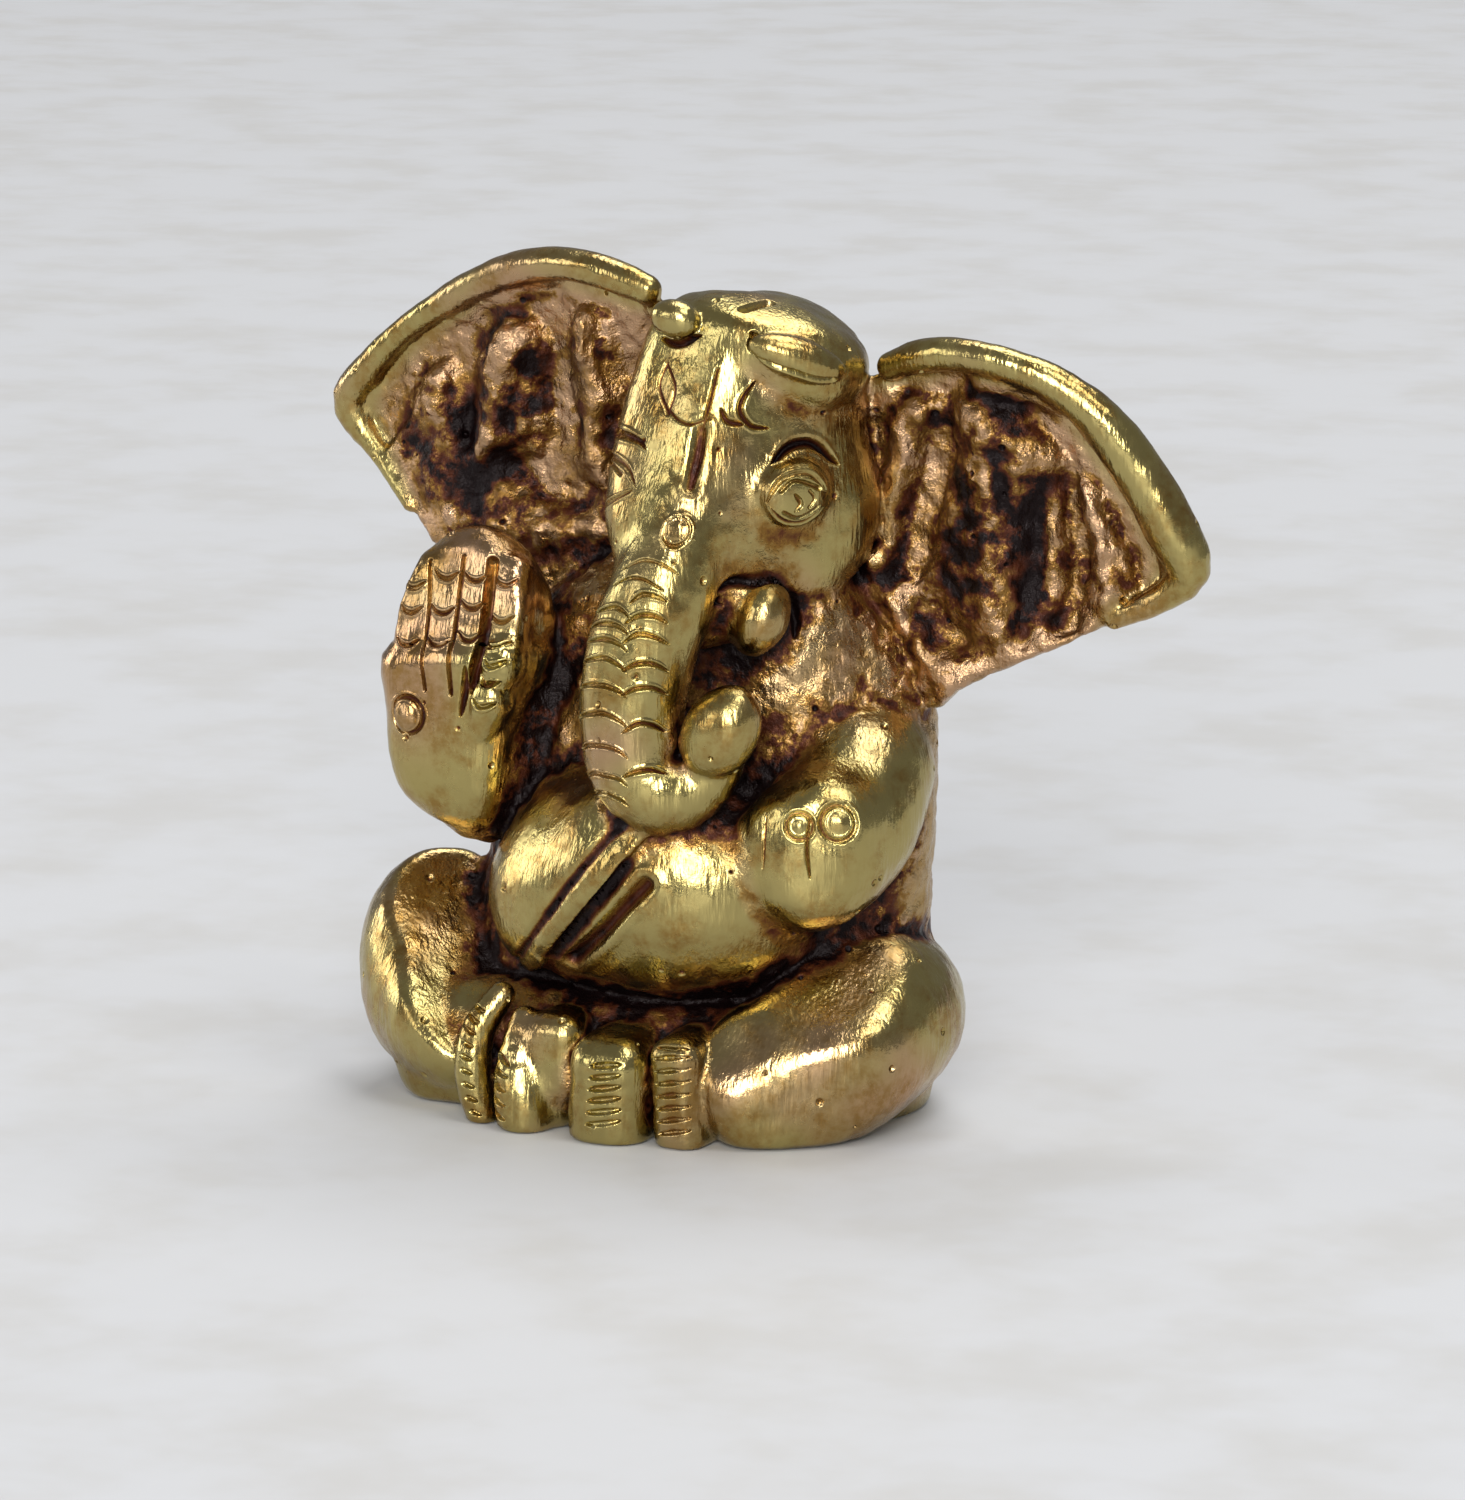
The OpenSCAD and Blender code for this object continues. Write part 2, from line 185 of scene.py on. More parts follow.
class Clay:
    """All the lumps on one grid: dist is the whole figure, label says which lump is nearest."""

    def __init__(self, lo, hi):
        self.lo = np.array(lo, float)
        self.size = np.ceil((np.array(hi) - self.lo) / STEP).astype(int) + 1
        self.axes = [(self.lo[i] + STEP * np.arange(self.size[i])).astype(np.float32) for i in range(3)]
        self.dist = np.full(self.size, FAR, np.float32)
        self.nearest = np.full(self.size, FAR, np.float32)
        self.label = np.zeros(self.size, np.int16)
        self.names = [None]

    def window(self, lo, hi, margin=1.6):
        first = np.clip(np.floor((lo - margin - self.lo) / STEP).astype(int), 0, self.size - 1)
        last = np.clip(np.ceil((hi + margin - self.lo) / STEP).astype(int) + 1, first + 1, self.size)
        part = tuple(slice(a, b) for a, b in zip(first, last))
        x = self.axes[0][part[0]][:, None, None]
        y = self.axes[1][part[1]][None, :, None]
        z = self.axes[2][part[2]][None, None, :]
        return part, x, y, z

    def add(self, name, shape, blend=0.3):
        """Adds one lump, with a fillet of size blend against what is there already."""
        part, x, y, z = self.window(shape.lo, shape.hi)
        d = shape.dist(x, y, z).astype(np.float32)
        self.names.append(name)
        closer = d < self.nearest[part]
        self.label[part][closer] = len(self.names) - 1
        self.nearest[part] = np.minimum(self.nearest[part], d)
        self.dist[part] = smooth_min(self.dist[part], d, blend)

    def ground(self):
        """Grinds the underside flat at z = 0, with a slightly broken edge."""
        z = self.axes[2][None, None, :]
        self.dist = smooth_max(self.dist, np.broadcast_to(-z, self.dist.shape), 0.5)

    def sample(self, field, points):
        """A field's value at any points, between the grid's own."""
        g = (points - self.lo) / STEP
        g = np.clip(g, 0, np.array(self.size) - 1.001)
        i = g.astype(int)
        f = g - i
        total = 0
        for dx, dy, dz, weight in corners(f):
            total = total + weight * field[i[:, 0] + dx, i[:, 1] + dy, i[:, 2] + dz]
        return total

    def slope(self, points):
        """The direction in which the distance grows, which is the surface's outward normal."""
        h = 0.6 * STEP
        g = np.stack([self.sample(self.dist, points + h * e) - self.sample(self.dist, points - h * e)
                      for e in np.eye(3)], 1)
        return g / (np.linalg.norm(g, axis=1, keepdims=True) + 1e-9)

    def settle(self, points, rounds=3):
        """Moves points onto the surface."""
        for _ in range(rounds):
            points = points - self.slope(points) * np.clip(self.sample(self.dist, points), -1, 1)[:, None]
        return points


# ---------------- from clay to faces

def skin(clay):
    """Faces between every two grid points with different labels: (points, outer flags, quads, sides).

    sides holds, for each quad, the label behind it and the label in front of it; 0 is the open air.
    """
    label = np.where(clay.dist < 0, clay.label, 0)
    low, high = label, label
    for axis in range(3):
        a, b = neighbours(axis)
        low = np.minimum(low[a], low[b])
        high = np.maximum(high[a], high[b])
    mixed = low != high
    ids = np.full(mixed.shape, -1, np.int64)
    ids[mixed] = np.arange(mixed.sum())
    cells = np.argwhere(mixed)
    outer = low[mixed] == 0

    quads, sides = [], []
    for d in range(3):
        u, v = (d + 1) % 3, (d + 2) % 3
        a, b = neighbours(d)
        behind, ahead = label[a], label[b]
        where = np.argwhere(behind != ahead)
        ring = []
        for du, dv in ((-1, -1), (0, -1), (0, 0), (-1, 0)):
            shift = np.zeros(3, int)
            shift[u], shift[v] = du, dv
            ring.append(ids[tuple((where + shift).T)])
        quad = np.stack(ring, 1)
        pair = np.stack([behind[tuple(where.T)], ahead[tuple(where.T)]], 1)
        flip = pair[:, 0] == 0
        quad[flip] = quad[flip][:, ::-1]
        pair[flip] = pair[flip][:, ::-1]
        quads.append(quad)
        sides.append(pair)
    points = clay.lo + STEP * (cells + 0.5)
    points[outer] = crossings(clay, cells[outer])
    points[outer] = clay.settle(points[outer])
    return points, outer, np.concatenate(quads), np.concatenate(sides)


def crossings(clay, cells):
    """The middle of the places where each cell's edges pass through the surface."""
    total, count = np.zeros((len(cells), 3)), np.zeros((len(cells), 1))
    for axis in range(3):
        for du in (0, 1):
            for dv in (0, 1):
                a = np.zeros(3, int)
                a[(axis + 1) % 3], a[(axis + 2) % 3] = du, dv
                b = a.copy()
                b[axis] = 1
                da = clay.dist[tuple((cells + a).T)].astype(float)
                db = clay.dist[tuple((cells + b).T)].astype(float)
                hit = (da < 0) != (db < 0)
                t = np.where(hit, da / np.where(hit, da - db, 1), 0)[:, None]
                total += np.where(hit[:, None], cells + a + t * (b - a), 0)
                count += hit[:, None]
    return clay.lo + STEP * total / np.maximum(count, 1)


class Faces:
    """Quads, plus the many-sided faces that border divided ones. Each has a pair of side labels."""

    def __init__(self, points, outer, quads, sides):
        self.points, self.outer = points, outer
        self.quads, self.sides = quads, sides
        self.many, self.many_sides = [], []

    def divide(self, chosen, clay):
        """Divides each chosen quad into four, and adds the new corners to its neighbours."""
        n = len(self.points)
        edge_of = [np.sort(self.quads[:, [i, (i + 1) % 4]], axis=1) for i in range(4)]
        keys = np.stack([e[:, 0] * n + e[:, 1] for e in edge_of], 1)
        split = np.unique(keys[chosen])
        a, b = split // n, split % n
        middle = clay.settle((self.points[a] + self.points[b]) / 2, 2)
        picked = self.quads[chosen]
        centre = clay.settle(self.points[picked].mean(1), 2)
        mid_id = n + np.searchsorted(split, keys[chosen])
        hub = (n + len(split) + np.arange(len(picked)))
        new = [np.stack([picked[:, i], mid_id[:, i], hub, mid_id[:, i - 1]], 1) for i in range(4)]
        place = np.clip(np.searchsorted(split, keys), 0, len(split) - 1)
        touched = (split[place] == keys) & ~chosen[:, None]
        bordering = touched.any(1)
        for face in np.flatnonzero(bordering):
            loop = []
            for i in range(4):
                loop.append(int(self.quads[face, i]))
                if touched[face, i]:
                    loop.append(int(n + place[face, i]))
            self.many.append(loop)
            self.many_sides.append(tuple(self.sides[face]))
        known = dict(zip(split.tolist(), range(len(split))))
        first_new = len(self.many) - int(bordering.sum())
        for index in range(first_new):
            loop, out = self.many[index], []
            for p, q in zip(loop, loop[1:] + loop[:1]):
                out.append(p)
                hit = known.get(min(p, q) * n + max(p, q))
                if hit is not None:
                    out.append(n + hit)
            self.many[index] = out
        keep = ~chosen & ~bordering
        self.quads = np.concatenate([self.quads[keep]] + new)
        self.sides = np.concatenate([self.sides[keep]] + [self.sides[chosen]] * 4)
        self.points = np.concatenate([self.points, middle, centre])
        self.outer = np.concatenate([self.outer, np.ones(len(middle) + len(centre), bool)])

    def triangles(self):
        """The open-air faces as triangles, for normals."""
        q = self.quads[self.sides[:, 1] == 0]
        tris = [q[:, [0, 1, 2]], q[:, [0, 2, 3]]]
        fans = [(loop[0], loop[i], loop[i + 1])
                for loop, side in zip(self.many, self.many_sides) if side[1] == 0
                for i in range(1, len(loop) - 1)]
        if fans:
            tris.append(np.array(fans))
        return np.concatenate(tris)

    def normals(self):
        """Smooth normals of the open-air surface, shared by every piece that meets at a point."""
        tris = self.triangles()
        p = self.points[tris]
        face = np.cross(p[:, 1] - p[:, 0], p[:, 2] - p[:, 0])
        total = np.zeros_like(self.points)
        for corner in range(3):
            for axis in range(3):
                total[:, axis] += np.bincount(tris[:, corner], face[:, axis], len(self.points))
        return total / (np.linalg.norm(total, axis=1, keepdims=True) + 1e-12)


# ---------------- chased lines, beads, pits and grain

def wander(points, scale, seed):
    """Smooth random values between -1 and 1, with bumps about scale mm apart."""
    q = points / scale + 37.0
    cell = np.floor(q).astype(np.int64)
    f = q - cell
    f = f * f * (3 - 2 * f)
    total = 0
    for dx, dy, dz, weight in corners(f):
        h = ((cell[:, 0] + dx) * 374761393 + (cell[:, 1] + dy) * 668265263
             + (cell[:, 2] + dz) * 2147483647 + seed * 974634777)
        h = (h ^ (h >> 13)) * 1274126177
        value = ((h ^ (h >> 16)) & 0xFFFF) / 32767.5 - 1
        total = total + weight * value
    return total


def curve(points, spacing=0.15, closed=False):
    """A smooth line through a few points, as closely spaced points."""
    p = np.array(points, float)
    if closed:
        p = np.concatenate([p[-1:], p, p[:2]])
    else:
        p = np.concatenate([[2 * p[0] - p[1]], p, [2 * p[-1] - p[-2]]])
    out = []
    for a, b, c, d in zip(p[:-3], p[1:-2], p[2:-1], p[3:]):
        n = max(int(np.linalg.norm(c - b) / spacing), 1)
        t = (np.arange(n) / n)[:, None]
        out.append(0.5 * (2 * b + (c - a) * t + (2 * a - 5 * b + 4 * c - d) * t ** 2
                          + (3 * b - a - 3 * c + d) * t ** 3))
    out.append(p[-2:-1])
    return np.concatenate(out)


class Mark:
    """A line pressed into the surface (height < 0) or raised on it, half_width mm to each side."""

    def __init__(self, path, half_width, height, lip=0.0, taper=False):
        self.path = np.atleast_2d(np.array(path, float))
        self.half_width, self.height, self.lip, self.taper = half_width, height, lip, taper
        self.reach = half_width * (2.6 if lip else 1.3)

    def settle(self, clay):
        self.path = clay.settle(self.path, 6)

    def near(self, points, extra=0.0):
        r = self.reach + extra
        return np.flatnonzero(((points > self.path.min(0) - r) & (points < self.path.max(0) + r)).all(1))

    def distance(self, points):
        """Distance to the path, and how far along it (0 to 1) the nearest place is."""
        best, along = np.full(len(points), 1e9), np.zeros(len(points))
        if len(self.path) == 1:
            return np.linalg.norm(points - self.path[0], axis=1), along + 0.5
        last = len(self.path) - 1
        for i in range(last):
            a, ab = self.path[i], self.path[i + 1] - self.path[i]
            t = np.clip((points - a) @ ab / max(ab @ ab, 1e-12), 0, 1)
            d = np.linalg.norm(points - a - t[:, None] * ab, axis=1)
            better = d < best
            best[better] = d[better]
            along[better] = (i + t[better]) / last
        return best, along

    def press(self, points, total, ink):
        near = self.near(points)
        if not len(near):
            return
        d, along = self.distance(points[near])
        width = self.half_width * (np.sqrt(np.clip(4 * along * (1 - along), 0.04, 1)) if self.taper else 1)
        body = np.clip(1 - (d / width) ** 2, 0, 1) ** 1.5
        if self.height < 0:
            old = total[near]
            total[near] = np.minimum(old, self.height * body + np.maximum(old, 0) * (1 - body))
            ink[near] = np.maximum(ink[near], body)
        else:
            total[near] += self.height * body
        if self.lip:
            edge = np.exp(-((d - 1.55 * width) / (0.45 * width)) ** 2)
            total[near] += self.lip * edge * (1 - ink[near])


def chase(path, half_width, height, lip=0.0, taper=False):
    """A mark along a smooth line through a few places."""
    return Mark(curve(path), half_width, height, lip, taper)


def ring(centre, normal, radius, points=28):
    """A circle on a plane."""
    n = np.array(normal, float)
    n /= np.linalg.norm(n)
    side = np.cross(n, (0, 0, 1))
    side /= np.linalg.norm(side)
    up = np.cross(side, n)
    t = np.linspace(0, 2 * math.pi, points + 1)[:, None]
    return np.array(centre) + radius * (np.cos(t) * side + np.sin(t) * up)


def blur(field, radius):
    """A soft local mean of a grid, radius mm wide."""
    n = max(int(round(radius / STEP)), 1)
    for _ in range(2):
        for axis in range(3):
            pad = [(0, 0)] * 3
            pad[axis] = (n + 1, n)
            total = np.cumsum(np.pad(field, pad, mode="edge"), axis=axis, dtype=np.float64)
            size = field.shape[axis]
            upper = np.take(total, np.arange(size) + 2 * n + 1, axis=axis)
            lower = np.take(total, np.arange(size), axis=axis)
            field = ((upper - lower) / (2 * n + 1)).astype(np.float32)
    return field


# ---------------- more shapes

def middle(node):
    """The middle of a node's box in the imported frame, in mm."""
    low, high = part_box(node)
    return (np.array(low) + np.array(high)) / 2 / MM


def spot(node, points):
    """Places in mm from the middle of a node's CAD box. A fourth number is a radius and stays."""
    points = np.array(points, float)
    points[..., :3] += middle(node)
    return points


def flat_spot(node, points):
    """The same for places (x, z)."""
    return np.array(points, float) + middle(node)[[0, 2]]


def loft(node, levels, top):
    """An upright body: each level is (z, left x, right x, y, radius), from the middle of a node."""
    centre = middle(node)
    levels = np.array(levels, float) + (*centre[[2, 0, 0, 1]], 0)
    top = top + centre[2]
    z_at = levels[:, 0]
    lo = (levels[:, 1].min() - 8, levels[:, 3].min() - 9, -1)
    hi = (levels[:, 2].max() + 8, levels[:, 3].max() + 9, top + 1)

    def dist(x, y, z):
        left, right, depth, radius = (np.interp(z, z_at, levels[:, i]) for i in range(1, 5))
        dx = np.maximum(np.maximum(left - x, x - right), 0)
        side = np.sqrt(dx ** 2 + (y - depth) ** 2) - radius
        return smooth_max(0.92 * side, z - top, 6)
    return Shape(lo, hi, dist)


def gap(x, z, start, end):
    """Squared distance from the line between two (x, z) places."""
    (ax, az), (bx, bz) = start, end
    ex, ez = bx - ax, bz - az
    t = np.clip(((x - ax) * ex + (z - az) * ez) / (ex * ex + ez * ez + 1e-9), 0, 1)
    return (x - ax - t * ex) ** 2 + (z - az - t * ez) ** 2


def outline_distance(outline, x, z):
    """Signed distance from an outline in the (x, z) plane: negative inside it."""
    best, inside = 1e9, False
    for (ax, az), (bx, bz) in zip(outline, np.roll(outline, -1, 0)):
        best = np.minimum(best, gap(x, z, (ax, az), (bx, bz)))
        if abs(bz - az) > 1e-9:
            crosses = ((az > z) != (bz > z)) & (x < ax + (z - az) * (bx - ax) / (bz - az))
            inside = inside ^ crosses
    return np.where(inside, -1, 1) * np.sqrt(best)


def plate(outline, front, back, edge):
    """A slab with an outline in (x, z) and rounded edges. front and back are its y, or give it at (x, z)."""
    outline = np.array(outline, float)

    def at(face, x, z):
        return face(x, z) if callable(face) else face
    lo = (outline[:, 0].min(), np.min(at(front, *outline.T)) - 1.5, outline[:, 1].min())
    hi = (outline[:, 0].max(), np.max(at(back, *outline.T)) + 1.5, outline[:, 1].max())

    def dist(x, y, z):
        f, b = at(front, x, z), at(back, x, z)
        a = outline_distance(outline, x, z) + edge
        c = np.abs(y - (f + b) / 2) - (b - f) / 2 + edge
        return np.sqrt(
            np.maximum(a, 0) ** 2 + np.maximum(c, 0) ** 2) + np.minimum(np.maximum(a, c), 0) - edge
    return Shape(lo, hi, dist)


def wrap(base, thickness, *planes):
    """A layer on a shape, kept to the side behind each plane."""
    def dist(x, y, z):
        d = base.dist(x, y, z) - thickness
        for plane in planes:
            d = smooth_max(d, plane.dist(x, y, z), 0.5)
        return d
    return Shape(base.lo - thickness, base.hi + thickness, dist)


def ripple(x, z, scale, seed):
    """Smooth random values over the (x, z) plane."""
    x, z = np.broadcast_arrays(x, z)
    return wander(np.stack([x.ravel(), 0 * x.ravel(), z.ravel()], 1), scale, seed).reshape(x.shape)


def fold(x, z, path, width, height):
    """A soft ridge (or a hollow, height < 0) along a line drawn in the (x, z) plane."""
    best = 1e9
    for start, end in zip(path[:-1], path[1:]):
        best = np.minimum(best, gap(x, z, start, end))
    return height * np.exp(-best / width ** 2)


def ear_blade(rim, lower, root, thickness, node, folds, back_folds):
    """A thin dished leaf inside the rim. rim, lower and root hold (x, y, z) places on its middle."""
    edge = np.concatenate([rim, lower, root])
    outline = edge[:, [0, 2]]
    knots = np.concatenate([curve(rim, 1.2), curve(lower, 1.2), curve(root, 1.2)])

    def mid_depth(x, z):
        total, weight = 0, 0
        for kx, ky, kz in knots:
            w = 1 / ((x - kx) ** 2 + (z - kz) ** 2 + 0.6) ** 1.5
            total = total + w * ky
            weight = weight + w
        return total / weight

    def front(x, z):
        wx = x + 0.4 * ripple(x, z, 3.0, 31) + 0.2 * ripple(x, z, 1.0, 32)
        wz = z + 0.5 * ripple(x, z, 2.6, 33)
        depth = -0.6 + 0.16 * ripple(x, z, 1.6, 34) + 0.16 * ripple(x, z, 0.7, 35)
        for path, width, height in folds:
            depth = depth + fold(wx, wz, flat_spot(node, path), width, height)
        return np.minimum(mid_depth(x, z) - thickness / 2 - depth, back(x, z) - 0.6)

    def back(x, z):
        depth = 0
        for path, width, height in back_folds:
            depth = depth + fold(x, z, flat_spot(node, path), width, height)
        return mid_depth(x, z) + thickness / 2 + depth
    return plate(outline, front, back, 0.55)


def branch(node, balls, spacing=0.7):
    """A limb through balls measured from the middle of a node."""
    return limb(spot(node, balls), spacing)


def egg_at(node, centre, radii, turn=(0, 0, 0)):
    """An egg with its centre measured from the middle of a node."""
    return egg(spot(node, centre), radii, turn)


# ---------------- the lumps

def body_lumps(clay):
    """Seat, back, shoulders, belly and sash."""
    clay.add("seat", block(spot("seat", (0, 0.2, -0.1)), (30, 17, 8.4), 3.2))
    clay.add("torso", loft("torso", [
        (-17.5, -8.3, 8.7, -0.8, 6.4), (-14.5, -8.1, 8.5, -0.8, 7.4), (-10.5, -7.5, 7.5, -0.6, 7.8),
        (-4, -4.9, 6.7, -0.2, 7.9), (3.5, -3.1, 7.5, -0.6, 7.2), (8.5, -0.7, 7.3, -1.2, 6.4),
        (12.5, 1.9, 6.9, -1.8, 5.6)], 16.5))
    clay.add("right_shoulder", branch("right_shoulder", [
        (-2.5, -0.1, -3.6, 4.4), (1, 0.1, 0.3, 4.8), (5.5, -0.1, 2.5, 5)]), 0.8)
    clay.add("left_shoulder", branch("left_shoulder", [
        (-7.5, 0.1, 8.2, 4.8), (-3.1, 0.7, 5.6, 4.5), (-1.3, 0.3, 0.8, 3.8), (-1.9, 0.3, -7.2, 4.0)]), 0.8)
    belly = branch("belly", [(-3.5, 4.3, 0.3, 6.6), (-0.1, 3.5, -0.1, 7.2), (3.3, 4.1, -0.1, 6.8)])
    belly = belly.join(egg_at("belly", (1.1, -0.1, 0.9), (6.4, 4.4, 5.6)), 2)
    belly = belly.join(egg_at("belly", (-4.4, 1.9, -1.1), (5.8, 5.0, 5.0)), 1.5)
    clay.add("belly", belly, 0.4)
    upper_groove = facet("belly", (-2.3, -4.7, 2.1), (0.78, 0.22, -0.58))
    ridge_end = facet("belly", (-0.9, -4.5, 1), (0.76, 0.2, -0.62))
    hem = facet("belly", (-6.5, -0.1, -5.5), (0.1, -0.2, -1))
    clay.add("sash_upper_band", wrap(belly, 0.75, upper_groove, hem), 0.15)
    lower = wrap(belly, 0.7, ridge_end, hem).cut(upper_groove, 0.6)
    clay.add("sash_lower_band", lower, 0.15)


def head_lumps(clay):
    """Skull, crown, face and trunk."""
    head = branch("head", [
        (0.4, 1.4, 4.3, 6.2), (0, 0, 0.4, 6.6), (-0.7, -2, -3.3, 5.3), (-1.3, -3.8, -6.1, 3.6)])
    cheeks = branch("head", [
        (-3.5, 0.8, -1.1, 4.4), (3.1, 1, -1.3, 4.5), (2.7, -0.2, -3.9, 3.7), (-3.5, -0.4, -4.1, 3.7)])
    head = head.join(cheeks, 1.5)
    brow = branch("head", [(-2.9, -1.6, 7.1, 2.9), (-3.2, -3, 2.9, 3.3), (-3.5, -4.6, -1.7, 3.1)])
    brow = brow.join(branch("head", [
        (0.3, -2.3, 6.9, 2.8), (-0.4, -3.4, 2.9, 3.2), (-1.3, -4.8, -1.7, 3.2)]), 3)
    head = head.join(brow, 1.2)
    head = head.join(branch("head", [(-1.5, -5.8, -1.7, 2.8), (-2.3, -7.5, -5.3, 2.6)]), 2.4)
    head = head.trim("head", (-0.7, -8.1, -1.4), (-0.1, -1, 0.31), 2.0)
    head = head.trim("head", (1.9, -5.6, 4.9), (0.80, -0.60, 0.06), 2.4)
    clay.add("head", head, 0.4)
    crown = branch("crown_cap", [
        (-3.4, -1.7, -0.2, 2.7), (-0.2, -2.5, 0, 2.9), (3, -1.5, -1.4, 2.7), (3.4, 0.7, -1.8, 2.6),
        (0.6, 2.1, -0.9, 2.8), (-2.6, 1.1, -0.4, 2.6), (-3.4, -1.7, -0.2, 2.7)])
    crown = crown.join(egg_at("crown_cap", (0, -0.3, -1.2), (4.6, 3.6, 3.6)), 1)
    crown = crown.trim("crown_cap", (0, -3.3, 2.2), (0.24, -0.22, 1), 0.7)
    crown = crown.trim("crown_cap", (-1, -5.5, 0.4), (-0.08, -1, 0.33), 0.6)
    clay.add("crown_cap", crown, 0.3)
    for node, centre, radii, turn, blend in (
            ("crown_lump_right", (0, -0.5, 0.6), (1.5, 1.1, 1.1), (0, 12, 0), 0.15),
            ("crown_lobe_left", (-0.2, -1.1, 0.8), (3.0, 1.3, 1.2), (0, 20, 36), 0.15),
            ("right_eye", (0.1, -0.5, 0), (0.75, 2.0, 1.7), (0, 0, 36), 1.5),
            ("left_eye", (-1.8, -0.9, 0), (0.75, 2.0, 1.7), (0, 0, -36), 1.5)):
        clay.add(node, egg_at(node, centre, radii, turn), blend)
    trunk = branch("trunk", [
        (0.2, 3.3, 7.5, 2.9), (-0.4, 1.9, 4.5, 3.05), (-0.8, 1, 2.5, 3.15), (-1.6, 0.2, -0.3, 3.15),
        (-2.1, -0.1, -4.1, 3.05), (-1.7, -0.1, -7.1, 2.85), (-0.4, 0, -8.4, 2.6), (1.3, 0.6, -8.2, 2.1),
        (2.7, 0.8, -6.8, 1.7), (3.3, 0.6, -5.7, 1.5)])
    clay.add("trunk", trunk, 0.35)
    seat = clay.settle(spot("forehead_dot", [(0, 0.5, -0.6)]))[0]
    clay.add("forehead_dot", egg(seat, (0.95, 0.45, 1.0), (-16, 0, 12)), 0.12)
    tip = egg_at("trunk_tip", (-0.6, -0.5, 0.3), (2.2, 1.9, 3.0), (0, 32, 0))
    clay.add("trunk_tip", tip, 0.2)
    clay.add("right_tusk", egg_at("right_tusk", (0.4, 0.4, 0.2), (1.6, 1.9, 2.3), (0, -24, -30)), 1.1)
    clay.add("left_tusk", egg_at("left_tusk", (-0.7, 0.5, -0.2), (1.6, 1.9, 2.3), (0, 24, 30)), 1.1)


